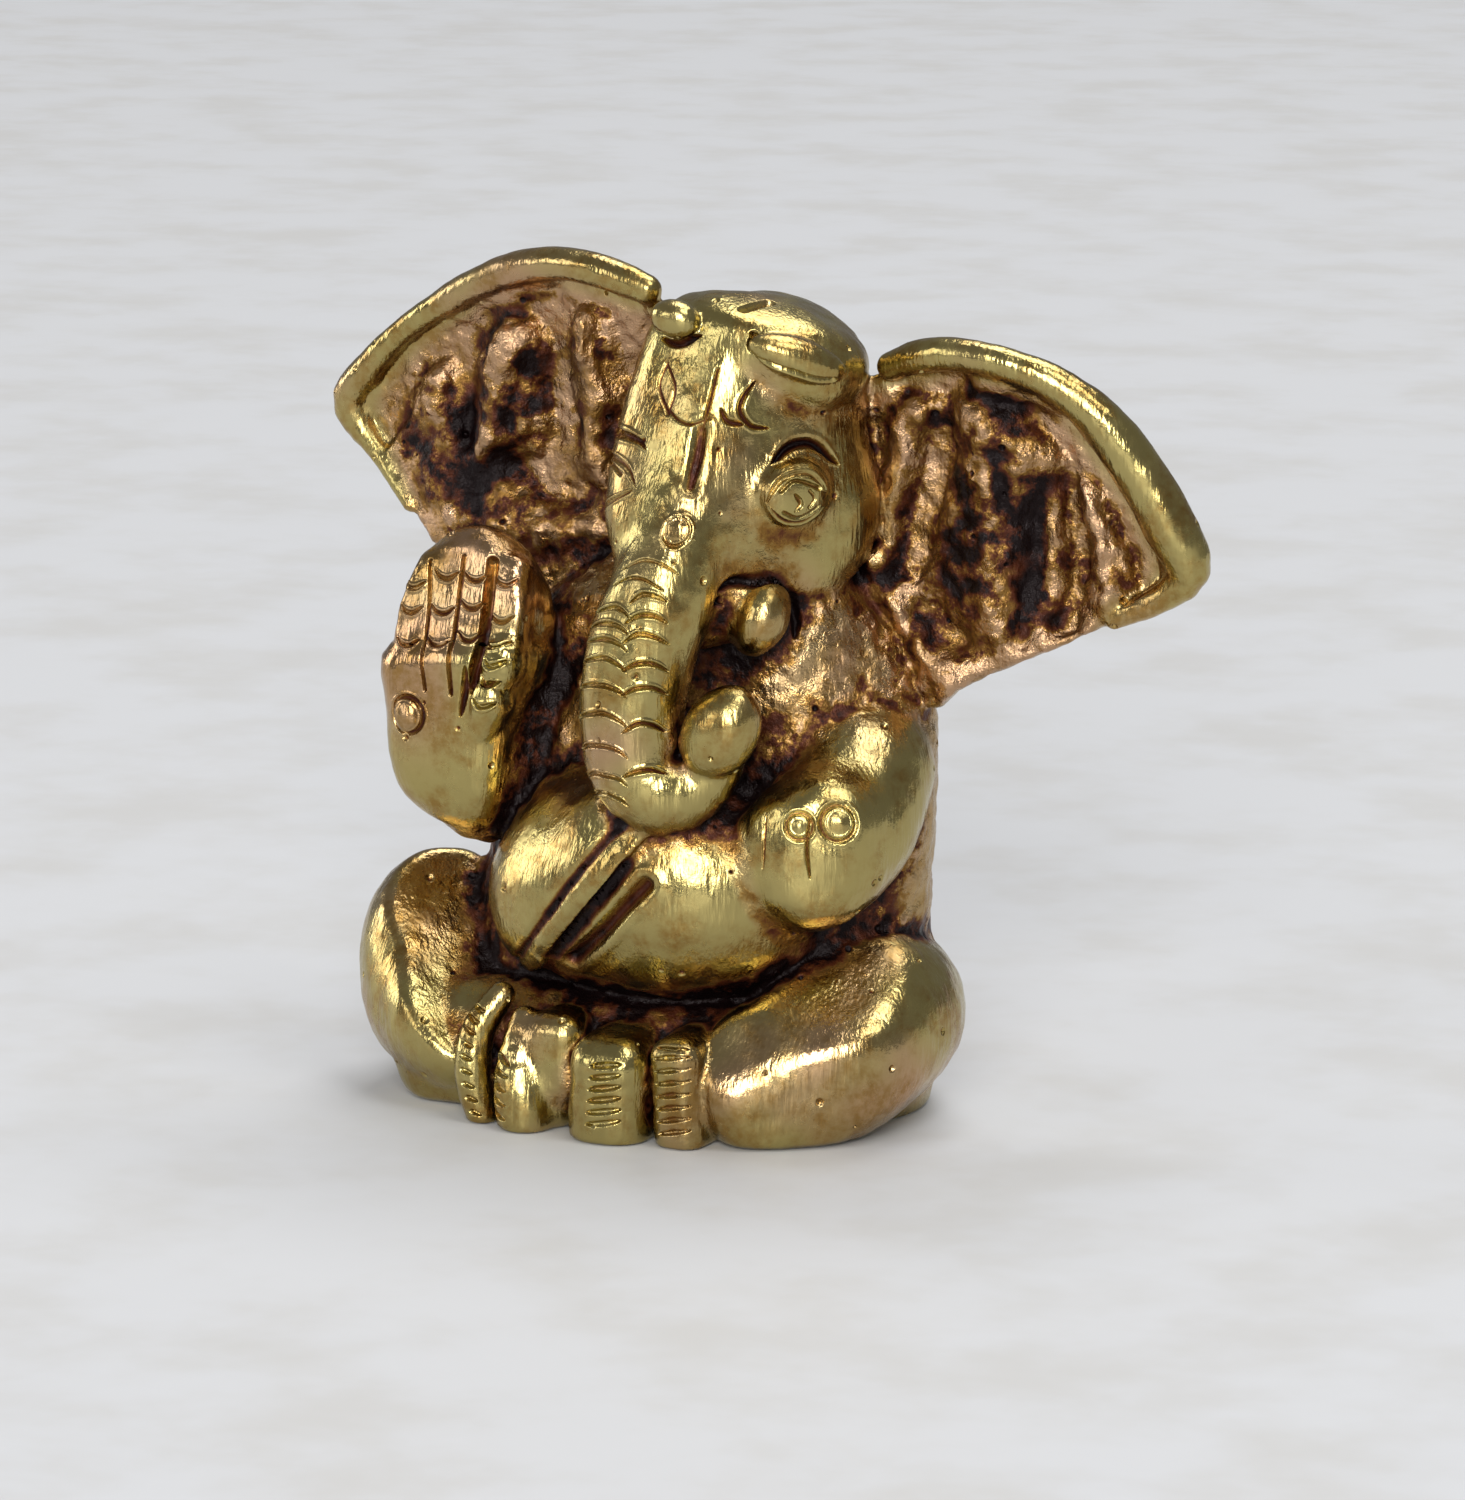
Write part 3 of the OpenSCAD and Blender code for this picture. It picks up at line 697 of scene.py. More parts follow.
def ear_lumps(clay):
    """The blades, dished and ribbed in front, and their rolled rims."""
    rim = spot("right_ear_rim", [
        (10.4, -2, 4.3), (7.6, -1.9, 5.2), (4.4, -1.7, 5.5), (1.4, -1.3, 4.9), (-1.4, -0.7, 3.8),
        (-4.2, 0, 2.3), (-7, 0.7, 0.5), (-9.4, 1.3, -1.7), (-11.3, 1.9, -3.9), (-10.9, 2, -5.5),
        (-9.2, 1.5, -7.3), (-6.6, 0.5, -10.1)])
    thick = np.array([0.9, 1.0, 1.0, 1.0, 0.95, 0.85, 0.8, 0.95, 1.15, 1.0, 0.6, 0.45])
    clay.add("right_ear_rim", limb(np.column_stack([rim, thick])), 0.4)
    folds = [
        ([(-6.4, 3.9), (-8.7, 1.6), (-10.5, -1.1)], 0.75, -1.5),
        ([(-0.1, 6.4), (-1.3, 2.5), (-2, -1)], 1.5, 1.2), ([(-3.9, 5), (-4, 1.8), (-3.5, -1)], 0.8, -0.9),
        ([(2.9, 6.5), (2.3, 3), (2.9, 0.6), (1.9, -2.4)], 1.2, -1.4),
        ([(5.3, 7), (5.5, 3), (5.1, -2)], 1.0, 1.0), ([(7.9, 7.4), (8.3, 3), (7.9, -2)], 1.1, -0.9),
        ([(-5.7, 2.4), (-5.9, -0.4), (-5.3, -3)], 1.3, 0.6),
        ([(-0.9, -1.8), (1.7, -2.4), (3.9, -3.4)], 1.1, -1.1),
        ([(-4.1, -5), (0.9, -5.2), (5.9, -5)], 1.1, 0.7),
        ([(6.9, 8.6), (3.9, 8.5), (-1.1, 7.2), (-5.1, 5.3), (-8.7, 3.2)], 1.1, -1.2)]
    blade = ear_blade(rim, spot("right_ear", [
        (-11.1, 1.4, -1.8), (-9.2, 0.4, -4), (-5.9, -0.6, -6.8), (-3.1, -1, -8.6), (3.9, -0.5, -9.6)]),
        spot("right_ear", [(11.5, 0.5, -8), (11.9, -0.1, 1), (11.9, -1.5, 7)]), 1.5, "right_ear", folds,
        [([(-0.1, 6), (-2.1, -3)], 6, 0.9)])
    clay.add("right_ear", blade, 0.3)

    rim = spot("left_ear_rim", [
        (-8.6, -1.3, 5.7), (-6.4, -1.8, 6.5), (-3.6, -2, 6.7), (-0.8, -1.7, 6.2), (2, -1.1, 5),
        (4.2, -0.5, 3.1), (6.2, 0.2, 0.3), (8, 0.8, -2.9), (8.9, 1.3, -5.3), (7.6, 1.3, -6.9),
        (4.6, 0.7, -8.5)])
    thick = np.array([0.9, 1.0, 1.0, 1.0, 1.1, 1.35, 1.5, 1.55, 1.3, 0.9, 0.6])
    clay.add("left_ear_rim", limb(np.column_stack([rim, thick])), 0.4)
    folds = [
        ([(3.6, 7.2), (5.8, 3.2), (8, -1.8)], 0.8, -1.7), ([(3, 4.2), (3.6, 0), (3, -4.2)], 0.8, -1.6),
        ([(-4.5, 6.5), (-5.4, 2.6), (-6.6, -1.6)], 0.9, -1.6),
        ([(-8.5, 6.1), (-9.2, 2.6), (-9.6, -1)], 0.8, -1.2),
        ([(-6.5, 7.6), (-7.1, 3.6), (-8, -1)], 0.9, 0.7),
        ([(-1.2, 8.6), (-1, 3.6), (-1.5, -1.4), (-1, -5.4)], 1.8, 1.1),
        ([(4.2, 4.6), (5.4, 0.6), (5.8, -2.8)], 0.8, 0.5),
        ([(-5.4, -4.4), (-3, -5.2), (-1.4, -6)], 0.9, -0.9),
        ([(-8.4, -2), (-5.8, -5.6), (-3.4, -8.2)], 1.1, 0.9),
        ([(1.4, 3.6), (1.2, -1.4), (0.6, -5)], 0.7, -0.5),
        ([(-6.4, 8.8), (-2.4, 9.2), (1.6, 8), (4, 5.8)], 1.1, -1.3)]
    blade = ear_blade(rim, spot("left_ear", [
        (9.2, 1.2, -2.4), (5.8, 0.5, -4.2), (2.9, -0.2, -5.7), (-0.2, -0.6, -7.1), (-3, -1, -8.5),
        (-4.2, -1.2, -9.8), (-6.8, -1, -10)]), spot("left_ear", [(-11.4, -0.6, -7.4), (-11.4, -0.6, 1.6),
        (-10.4, -1, 8.6)]), 1.5, "left_ear", folds, [([(-1.4, 7.6), (1.6, -1.4)], 6, 0.9)])
    clay.add("left_ear", blade, 0.3)


def arm_lumps(clay):
    """The raised right hand, and the left arm with its closed hand."""
    clay.add("right_arm", branch("right_arm", [
        (2.4, 2.1, 3.2, 4.2), (0.6, 0.3, 0.6, 4.3), (0.1, -0.7, -2, 4.0), (-0.2, -1.7, -3.4, 3.2)]), 0.5)
    outline = [
        (-4.1, 5.5), (-4.5, 1.3), (-4.3, -1.3), (-3.4, -3.9), (-0.8, -5.6), (1.4, -6.1), (2.9, -4.9),
        (3.3, -2.3), (3.9, 1.1), (4.9, 5.9)]
    outline = curve(flat_spot("right_palm", outline), 0.9, True)
    px, py, pz = middle("right_palm")
    palm = plate(
        outline, lambda x,
        z: py - 2.6 + 0.03 * (x - px + 0.2) ** 2 + 0.06 * np.maximum(pz - 0.9 - z, 0) ** 2, py + 3.4, 1.7)
    clay.add("right_palm", palm, 0.4)
    fingers = branch("right_fingers", [
        (-2.6, -1.1, -2.8, 1.25), (-2.2, -0.8, 0.2, 1.25), (-1.7, 0.1, 2.4, 1.1)])
    for one in ([
            (-0.6, -1.1, -2.8, 1.25), (-0.3, -0.8, 0.2, 1.25), (0, 0.1, 3.2, 1.1)],
            [(1.3, -1.1, -2.8, 1.25), (1.5, -0.8, 0.2, 1.25), (1.6, 0.1, 3.1, 1.1)],
            [(3.6, -1.1, -2.8, 1.25), (3.6, -0.8, 0.2, 1.25), (3.6, 0.1, 2.5, 1.1)]):
        fingers = fingers.join(branch("right_fingers", one), 0.9)
    back = egg_at("right_fingers", (0.6, 1.7, -0.8), (4.6, 2.8, 5.8), (10, 6, 0))
    fingers = fingers.join(back, 0.4).trim("right_fingers", (0.6, -2.3, -2), (0, -1, 0.27), 0.3)
    clay.add("right_fingers", fingers, 0.3)
    thumb = branch("right_thumb", [
        (-1.1, 0.3, -2, 1.0), (-0.4, 0.2, -0.2, 1.35), (-0.1, 0.4, 0.4, 1.0), (0.2, 0.4, 1.8, 1.35),
        (0.3, 0.7, 2.6, 1.1)], 0.3)
    clay.add("right_thumb", thumb, 0.2)
    seat = clay.settle(spot("palm_dot", [(0.2, 0, 0.8)]))[0]
    clay.add("palm_dot", egg(seat, (0.85, 0.55, 1.0)), 0.12)
    clay.add("left_arm", branch("left_arm", [
        (-1.3, 3.2, 2.1, 4.6), (-1.2, 1.2, -0.2, 4.6), (-1.3, -0.6, -1.6, 4.2)]), 0.4)
    hand = branch("left_hand", [
        (0.8, 2, 1.5, 3.2), (-0.8, 0.8, 0.5, 3.1), (0.2, 1.4, -1.7, 3.1), (0.8, 2, 1.5, 3.2)])
    hand = hand.trim("left_hand", (-1, -1.9, 0.5), (-0.28, -0.95, 0.12), 0.8)
    hand = hand.trim("left_hand", (1.2, -1.3, 0.1), (0.45, -0.88, 0.1), 0.8)
    clay.add("left_hand", hand, 1.2)


def leg_lumps(clay):
    """Crossed legs, feet and anklets."""
    leg = branch("right_leg", [
        (3.1, 5.6, -2, 5), (0.1, 2, -1, 5), (-1.2, -1.4, 1.4, 4.9), (-0.8, -3.2, -1.4, 5),
        (0.9, -5.4, -2.2, 4.6), (2.1, -6.8, -3, 3.6)])
    leg = leg.join(egg_at("right_leg", (-1.3, -2.4, 0), (4.6, 5, 6.6), (0, -8, 0)), 1.5)
    leg = leg.trim("right_leg", (0, -6.8, 1.2), (0.52, -0.5, 0.68), 0.5)
    clay.add("right_leg", leg, 0.3)
    leg = branch("left_leg", [
        (-2.8, 6.1, -0.1, 5), (0.4, 2.3, 0.7, 5.2), (0.8, -0.9, 0.5, 5.4), (-0.2, -4.3, -0.9, 5.2),
        (-2.4, -6.7, -1.9, 4.6)])
    leg = leg.trim("left_leg", (-2.9, -10.3, -0.9), (0.13, -0.81, 0.57), 0.4)
    leg = leg.trim("left_leg", (-2.9, -10.8, -3.1), (0.5, -0.85, -0.1), 1.0)
    leg = leg.trim("left_leg", (0.4, -7.9, 1.7), (0.25, -0.6, 0.76), 0.6)
    clay.add("left_leg", leg, 0.3)
    foot = branch("right_foot", [
        (-1, 1.2, 2.9, 0.8), (-1, 0.5, 0.8, 1.3), (-0.7, 0.2, -1.2, 1.65), (-0.5, 0.2, -3.2, 1.7)])
    foot = foot.join(block(spot("right_foot", (0.1, 2.8, -0.4)), (4.2, 5.6, 6.8), 1.5), 0.6)
    foot = foot.join(block(spot("right_foot", (1.2, 2.5, 1)), (3.4, 5.6, 5.2), 1.3), 0.7)
    clay.add("right_foot", foot, 0.15)
    foot = block(spot("left_foot", (0.1, 1.7, -1)), (4.9, 7.0, 8.2), 1.9, (5, 3, 2))
    foot = foot.join(egg_at("left_foot", (0, 0, -1.8), (2.1, 1.8, 2.6)), 0.8)
    clay.add("left_foot", foot, 0.15)
    band = branch("right_anklet", [
        (0.9, 0.2, 3.3, 0.8), (-0.1, -0.6, 1.5, 1.0), (-0.4, -1.1, -0.7, 1.1), (-0.1, -1.2, -2.5, 1.05),
        (0.3, -1.2, -3.9, 1.0)])
    clay.add("right_anklet", band, 0.1)
    clay.add(
        "left_anklet", block(spot("left_anklet", (0, 1.5, -0.6)), (3.2, 5.8, 7.9), 1.3, (5, 0, -3)), 0.1)


def build_clay():
    """Every lump in its place, on a flat underside."""
    clay = Clay(GRID_LOW, GRID_HIGH)
    body_lumps(clay)
    head_lumps(clay)
    ear_lumps(clay)
    arm_lumps(clay)
    leg_lumps(clay)
    clay.ground()
    return clay


def untangle(clay):
    """Fills single grid points where a lump would touch itself only along an edge."""
    inside = clay.dist < 0
    for _ in range(4):
        label = np.where(inside, clay.label, 0)
        changed = 0
        for axis in range(3):
            u, v = (axis + 1) % 3, (axis + 2) % 3
            corner = {}
            for du in (0, 1):
                for dv in (0, 1):
                    cut = [slice(None)] * 3
                    cut[u] = slice(du, label.shape[u] - 1 + du)
                    cut[v] = slice(dv, label.shape[v] - 1 + dv)
                    corner[du, dv] = label[tuple(cut)]
            for first, second, other, last in (
                    ((0, 0), (1, 1), (0, 1), (1, 0)), ((0, 1), (1, 0), (0, 0), (1, 1))):
                a, b = corner[first], corner[second]
                bad = (a == b) & (a > 0) & (corner[other] != a) & (corner[last] != a)
                where = np.argwhere(bad)
                if not len(where):
                    continue
                shift = np.zeros(3, int)
                shift[u], shift[v] = other
                spots = tuple((where + shift).T)
                clay.label[spots] = a[bad]
                clay.dist[spots] = np.minimum(clay.dist[spots], -0.02)
                changed += len(where)
        inside = clay.dist < 0
        if not changed:
            break


def merge_crumbs(clay):
    """Gives each small loose patch of a label to the lump around it, so every lump is one piece."""
    label = np.where(clay.dist < 0, clay.label, 0)
    around = np.vstack([np.eye(3, dtype=int), -np.eye(3, dtype=int)])
    for number in range(1, len(clay.names)):
        spots = np.argwhere(label == number)
        if not len(spots):
            continue
        lo, hi = spots.min(0) - 1, spots.max(0) + 2
        part = tuple(slice(a, b) for a, b in zip(lo, hi))
        mine = label[part] == number
        start = np.zeros_like(mine)
        deepest = np.where(mine, clay.dist[part], FAR)
        start[np.unravel_index(np.argmin(deepest), mine.shape)] = True
        while True:
            grown = start.copy()
            for axis in range(3):
                a, b = neighbours(axis)
                grown[a] |= start[b]
                grown[b] |= start[a]
            grown &= mine
            if (grown == start).all():
                break
            start = grown
        loose = mine & ~start
        rest = np.argwhere(loose)
        for _ in range(6):
            if not len(rest):
                break
            left = []
            for cell in rest + lo:
                near = [label[tuple(cell + e)] for e in around]
                near = [n for n in near if n not in (0, number)]
                if near:
                    label[tuple(cell)] = clay.label[tuple(cell)] = max(set(near), key=near.count)
                else:
                    left.append(cell - lo)
            rest = np.array(left)
        for cell in rest + lo if len(rest) else []:
            clay.dist[tuple(cell)] = 0.02
            label[tuple(cell)] = 0


# ---------------- from faces to pieces

def hollows(clay, points):
    """How much metal is near each point: 0.5 on a flat face, more in a crevice, less on an edge."""
    solid = np.clip(0.5 - clay.dist / STEP, 0, 1).astype(np.float32)
    return [clay.sample(blur(solid, radius), points) for radius in HOLLOW_RADII]


def share(clay, names, points, radius=0.9):
    """How much of the metal near each point belongs to the named lumps."""
    mine = np.isin(clay.label, [clay.names.index(n) for n in names]) & (clay.dist < 0.5)
    solid = (clay.dist < 0.5).astype(np.float32)
    return clay.sample(
        blur(mine.astype(np.float32), radius) / np.maximum(blur(solid, radius), 0.05), points)


def make_piece(name, points, normals, layers, quads, many):
    """One closed mesh from the faces of one lump."""
    corner_ids = np.concatenate([quads.ravel()] + [np.array(loop) for loop in many])
    used, loops = np.unique(corner_ids, return_inverse=True)
    sizes = np.concatenate([np.full(len(quads), 4), np.array([len(loop) for loop in many], int)])
    mesh = bpy.data.meshes.new(name)
    mesh.vertices.add(len(used))
    mesh.vertices.foreach_set("co", (points[used] * MM).astype(np.float32).ravel())
    mesh.loops.add(len(loops))
    mesh.loops.foreach_set("vertex_index", loops.astype(np.int32))
    mesh.polygons.add(len(sizes))
    starts = np.concatenate([[0], np.cumsum(sizes)[:-1]])
    mesh.polygons.foreach_set("loop_start", starts.astype(np.int32))
    mesh.update(calc_edges=True)
    mesh.validate()
    mesh.polygons.foreach_set("use_smooth", np.ones(len(mesh.polygons), bool))
    for layer, values in layers.items():
        attribute = mesh.attributes.new(layer, "FLOAT", "POINT")
        attribute.data.foreach_set("value", values[used].astype(np.float32))
    mesh.normals_split_custom_set_from_vertices(normals[used].astype(np.float32))
    piece = bpy.data.objects.new(name, mesh)
    bpy.context.scene.collection.objects.link(piece)
    return piece


# ---------------- lines that the chaser cuts, and the sand's own marks

def on(node, marks):
    """Moves marks drawn about the middle of a node's CAD box to where the node is."""
    for mark in marks:
        mark.path = mark.path + middle(node)
    return marks


def face_lines():
    """Forehead, brows, eyes and trunk. Places are near the surface and are settled onto it later."""
    cut = []
    leaf = [(-3, -4.6, 7), (-3.3, -5.1, 5.7), (-2.4, -5.8, 4.3)]
    cut += [chase(*row) for row in (
        (leaf, 0.17, -0.2),
        ([leaf[0], (-2.2, -5.3, 5.7), leaf[2]], 0.15, -0.18),
        ([(-2.4, -5.7, 4.5), (-1.7, -5.9, 4), (-0.8, -6, 3.8), (0.2, -5.7, 4.2)], 0.14, -0.18),
        ([(0.3, -4.8, 6.9), (0.1, -5.4, 5.1), (-0.1, -5.9, 3.7)], 0.15, -0.2),
        ([(-0.2, -6, 3.6), (-0.2, -6.7, 2.1), (-0.2, -7.6, 0.6)], 0.5, -0.28, 0.04),
        ([(0, -6, 3.6), (0.1, -6.7, 2.1), (0, -7.6, 0.7)], 0.14, -0.42),
        ([
            (2.3, -4, 6.2), (1.7, -4.4, 5.3), (1.6, -4.6, 4.5), (2.2, -4.4, 3.7), (3, -3.7, 3.5)], 0.2,
            -0.26, 0.04, True),
        ([(0.7, -5.3, 4.7), (1.1, -5.2, 4), (1.9, -4.8, 3.8)], 0.26, -0.25, 0, True),
        ([(-3.7, -3.8, 8.3), (-2.5, -4.3, 8.1), (-1, -4.2, 8.7)], 0.28, -0.4, 0, True),
        ([(2.2, -4, 8.9), (3.1, -4.6, 7.8), (4.6, -4.6, 6.8), (6.5, -2.6, 6.4)], 0.32, -0.45))]
    cut.append(Mark([(1.1, -2.9, 10.3), (1.5, -2.0, 10.6), (1.9, -1.1, 10.8)], 0.42, -0.6))
    for side in (1, -1):
        brow = [(3.3, -4, 1.5), (3.9, -2.8, 2.4), (4.9, -1.6, 2.4), (5.8, -0.3, 1.1)]

        def turn(places):
            return [(x if side > 0 else -0.98 * x, y, z) for x, y, z in places]
        cut.append(chase(turn(brow), 0.36, -0.42, 0.05, True))
        for lid in (
                ((3.5, -5.1, -0.6), (4.2, -4.5, 0.7), (5.5, -3.3, 1), (6.4, -2.3, -0.1)),
                ((3.6, -5, -0.8), (4.4, -4.4, -2), (5.5, -3.4, -2.2), (6.3, -2.4, -1.3))):
            cut.append(chase(turn(lid), 0.2, -0.16, 0.04, True))
        cut += [chase(*row) for row in (
            (turn([(4.3, -4.8, 0.1), (5, -4.2, 0.7), (6, -2.8, 0.1)]), 0.16, -0.22),
            (turn([(4.4, -4.6, -1.2), (5.2, -4, -1.7), (6, -2.8, -1.1)]), 0.14, -0.2),
            (turn([(4.9, -4.2, -0.1), (5.2, -3.9, -0.7), (5, -4.2, -1.2)]), 0.2, -0.24, 0, True),
            (turn([(5.6, -3.4, 0), (5.8, -3.1, -0.5), (5.6, -3.4, -1)]), 0.14, -0.2),
            (turn([
                (1.1, -6.4, -5.7), (2.1, -5.6, -5.2), (3.5, -4, -5.5), (4.3, -2.4, -6.9),
                (4.1, -2.4, -8.9)]), 0.6, -0.5, 0, True))]
    cut.append(Mark(ring((-0.4, -8.8, -1.8), (0.1, -1, 0.25), 1.1), 0.14, -0.2, 0.04))
    for z, lean in (
            (-6.2, 0.1), (-7.2, 0), (-8.2, 0), (-9.4, 0.1), (-10.9, 0), (-12.6, 0.1), (-14.4, 0),
            (-16.1, -0.1), (-17.4, 0)):
        cut.append(chase([
            (-5.9, -9.6, z - 0.5), (-4.9, -10.6, z - 0.02), (-3.9, -11.1, z + 0.12 + lean),
            (-3, -11.2, z - 0.1), (-2.5, -11.1, z - 0.5)], 0.15, -0.24, 0.05, True))
    for z, lean in (
            (-5.5, 0.1), (-6.7, 0), (-7.9, 0.1), (-9.5, 0), (-10.9, 0), (-13.1, 0.1), (-15.7, -0.1)):
        cut.append(chase([
            (-2.8, -11.1, z - 0.35), (-2, -10.8, z + 0.1 + lean), (-1.2, -10.3, z + 0.05),
            (-0.7, -9.6, z - 0.4)], 0.16, -0.24, 0.05, True))
    cut.append(chase([
        (-3.9, -9.3, -4.3), (-2.5, -9.8, -3.4), (-1.1, -9.7, -3.6), (-0.1, -9.2, -4.3)], 0.14, -0.18, 0,
        True))
    cut.append(chase([
        (-4.2, -9.5, -5.2), (-3.1, -10.1, -4.5), (-1.9, -10.1, -4.6), (-0.9, -9.6, -5.3)], 0.14, -0.2, 0,
        True))
    return on("head", cut)


def hand_lines():
    """Finger and palm lines of the raised hand, and the fist's rings."""
    cut, fist = [], []
    cut += [chase(*row) for row in (
        ([(-1.6, -0.6, 10.5), (-1.3, -1.4, 8.1), (-1.3, -2, 5.7), (-1, -2.4, 3.1)], 0.15, -0.3),
        ([(0.6, -0.6, 10.9), (0.6, -1.4, 8.1), (0.5, -1.9, 5.8), (0.7, -2.4, 3)], 0.17, -0.34),
        ([(2.5, -0.6, 10.7), (2.5, -1.4, 8.1), (2.4, -1.8, 6), (2, -2.3, 3.5)], 0.42, -0.75),
        ([(1.6, -2.3, 4.7), (1.6, -2.5, 3.3), (1.3, -2.6, 1.7)], 0.3, -0.35, 0, True))]
    columns = (-2.5, -0.4, 1.5, 3.5)
    creases = ((9, 7.6, 5.7), (9.7, 7.7, 5.8), (9.7, 8.1, 6.3), (9.6, 7.5, 5.9))
    for x, heights in zip(columns, creases):
        for z in heights:
            y = -2.0 + 0.28 * max(z - 6.1, 0)
            cut.append(chase([
                (x - 0.85, y + 0.3, z + 0.35), (x - 0.4, y, z - 0.05), (x + 0.2, y, z - 0.12),
                (x + 0.8, y + 0.3, z + 0.25)], 0.15, -0.22, 0.05, True))
    for x, y, z in ((3.6, -2.6, 5.1), (3.3, -2.8, 4), (3, -2.9, 2.7)):
        cut.append(chase([
            (x - 0.8, y, z + 0.3), (x - 0.2, y, z - 0.2), (x + 0.7, y + 0.3, z + 0.1)], 0.2, -0.3, 0.05,
            True))
    cut.append(Mark(ring((-2.2, -2.4, 1.5), (0, -1, 0), 1.08), 0.15, -0.2, 0.05))
    fist.append(Mark(ring((0.7, -1.4, 2), (0.2, -1, 0.1), 0.8), 0.15, -0.14, 0.05))
    fist.append(Mark(ring((2.8, -0.4, 2.2), (0.4, -0.9, 0.2), 1.1), 0.17, -0.15, 0.05))
    fist.append(Mark([(0.7, -1.4, 2)], 0.6, 0.14))
    fist.append(Mark([(2.8, -0.4, 2.2)], 0.85, 0.16))
    fist.append(chase([(-1.6, -1.6, 2.7), (-1.5, -2, 1.1), (-1.5, -2, -0.7)], 0.14, -0.2, 0, True))
    fist.append(chase([(1.2, -1, 2.5), (1.2, -1.4, 0.7), (1.3, -1.2, -1.1)], 0.14, -0.2, 0, True))
    return on("right_palm", cut) + on("left_hand", fist)


def body_lines():
    """The sash's folds, and the notches of the feet and anklets."""
    cut, notches = [], []
    cut += [chase(*row) for row in (
        ([(0.1, -4.6, 5.1), (-2.3, -4.7, 2.1), (-5.1, -3.5, -1.2), (-7.9, -1.7, -4.2)], 0.6, -0.1),
        ([(1.8, -4.5, 1.6), (-0.9, -4.2, -1.3), (-4.1, -2.9, -4.3)], 0.6, -0.65, 0.1),
        ([(0.3, -4.7, 2.7), (-2.1, -4.5, -0.3), (-5.1, -2.9, -3.9)], 0.9, -0.25))]
    for i in range(9):
        z = 4.0 - 0.82 * i
        x = -8.3 - 0.9 * math.sin(math.pi * (i + 1) / 10)
        notches.append(Mark([
            (x - 1.0, 0.4, z + 0.2), (x, -0.7, z - 0.05), (x + 0.6, -0.7, z - 0.2)], 0.2, -0.28, 0, True))
    for i in range(5):
        z = 1.0 - 0.85 * i
        notches.append(Mark([
            (-7.4, -0.4, z + 0.1), (-6.9, -1, z), (-6, -1.4, z - 0.2)], 0.24, -0.28, 0, True))
    for i in range(6):
        z = 1.6 - 0.7 * i
        notches.append(Mark([(-0.2 - 0.06 * i, -1.8, z - 0.2), (1.7, -1.9, z + 0.14)], 0.28, -0.3, 0, True))
    for i in range(8):
        z = 3.0 - 0.76 * i
        notches.append(Mark([
            (3.5, -1, z - 0.2), (4.6, -1.2, z + 0.05), (5.9, -1, z + 0.2)], 0.22, -0.28, 0, True))
    return on("belly", cut) + on("left_foot", notches)


def casting_pits(points):
    """Small round holes that bubbles left in the casting."""
    rng = np.random.default_rng(11)
    picks = rng.choice(len(points), PIT_COUNT, replace=False)
    return [Mark([points[i]], rng.uniform(0.12, 0.3), -rng.uniform(0.12, 0.26)) for i in picks]


def refine(faces, marks, clay):
    """Divides the open-air faces that lie under a mark."""
    for level in range(FINE_LEVELS):
        centre = faces.points[faces.quads].mean(1)
        air = faces.sides[:, 1] == 0
        near = np.zeros(len(centre), bool)
        for mark in marks:
            if mark.half_width > DEEP_LINE and level:
                continue
            index = mark.near(centre, STEP)
            index = index[air[index]]
            d, _ = mark.distance(centre[index])
            near[index[d < mark.reach + 0.75 * STEP / 2 ** level]] = True
        faces.divide(near, clay)


def weather_and_shade(faces, marks, clay):
    """Presses the marks and the sand's grain into the surface: (normals, values for the patina and the
    painted shade).
    """
    points = faces.points
    normals = faces.normals()
    rough = share(clay, ROUGH, points)
    blade = share(clay, ("right_ear", "left_ear"), points)
    small, medium, wide, deep = hollows(clay, points)
    sheltered = np.clip((medium - 0.5) * 5 + (wide - 0.5) * 2, 0, 1)
    dish = np.clip((blade - 0.5) * 2.5, 0, 1) * np.clip(0.5 - 1.5 * normals[:, 1], 0, 1)
    rough = np.clip(rough * np.clip((medium - 0.36) * 6, 0, 1) + sheltered + dish, 0, 1)
    height = 0.05 * wander(points, 1.6, 1) + 0.03 * wander(points, 0.7, 2)
    grit = wander(points, 0.5, 3) * 0.6 + wander(points, 0.85, 4) * 0.7
    height += rough * (0.17 * grit - 0.08 * np.abs(wander(points, 0.55, 5)))
    ink = np.zeros(len(points))
    cuts = np.zeros(len(points))
    for mark in marks:
        mark.press(points, cuts, ink)
    lift = np.where(faces.outer, height * (points[:, 2] > 0.25) + cuts, 0)
    faces.points = points + lift[:, None] * normals
    faces.points[:, 2] = np.maximum(faces.points[:, 2], 0)
    # Darkening by how much metal is near: patina in crevices and chased lines, and painted shade where the
    # wide and deep terms darken broad sheltered areas and recesses as occlusion would.
    hollow = 0.6 * small + medium + 0.8 * wide + 0.8 * deep + 0.6 * ink - 1.2 * height
    relief = medium + 0.5 * small
    inside_ear = dish > 0.9
    relief = np.clip((relief - relief[inside_ear].mean()) / relief[inside_ear].std(), -2, 2)
    hollow += dish * (EAR_HOLLOW + EAR_CONTRAST * relief - hollow) + 0.6 * dish * ink
    return faces.normals(), {"hollow": hollow, "rough": rough}


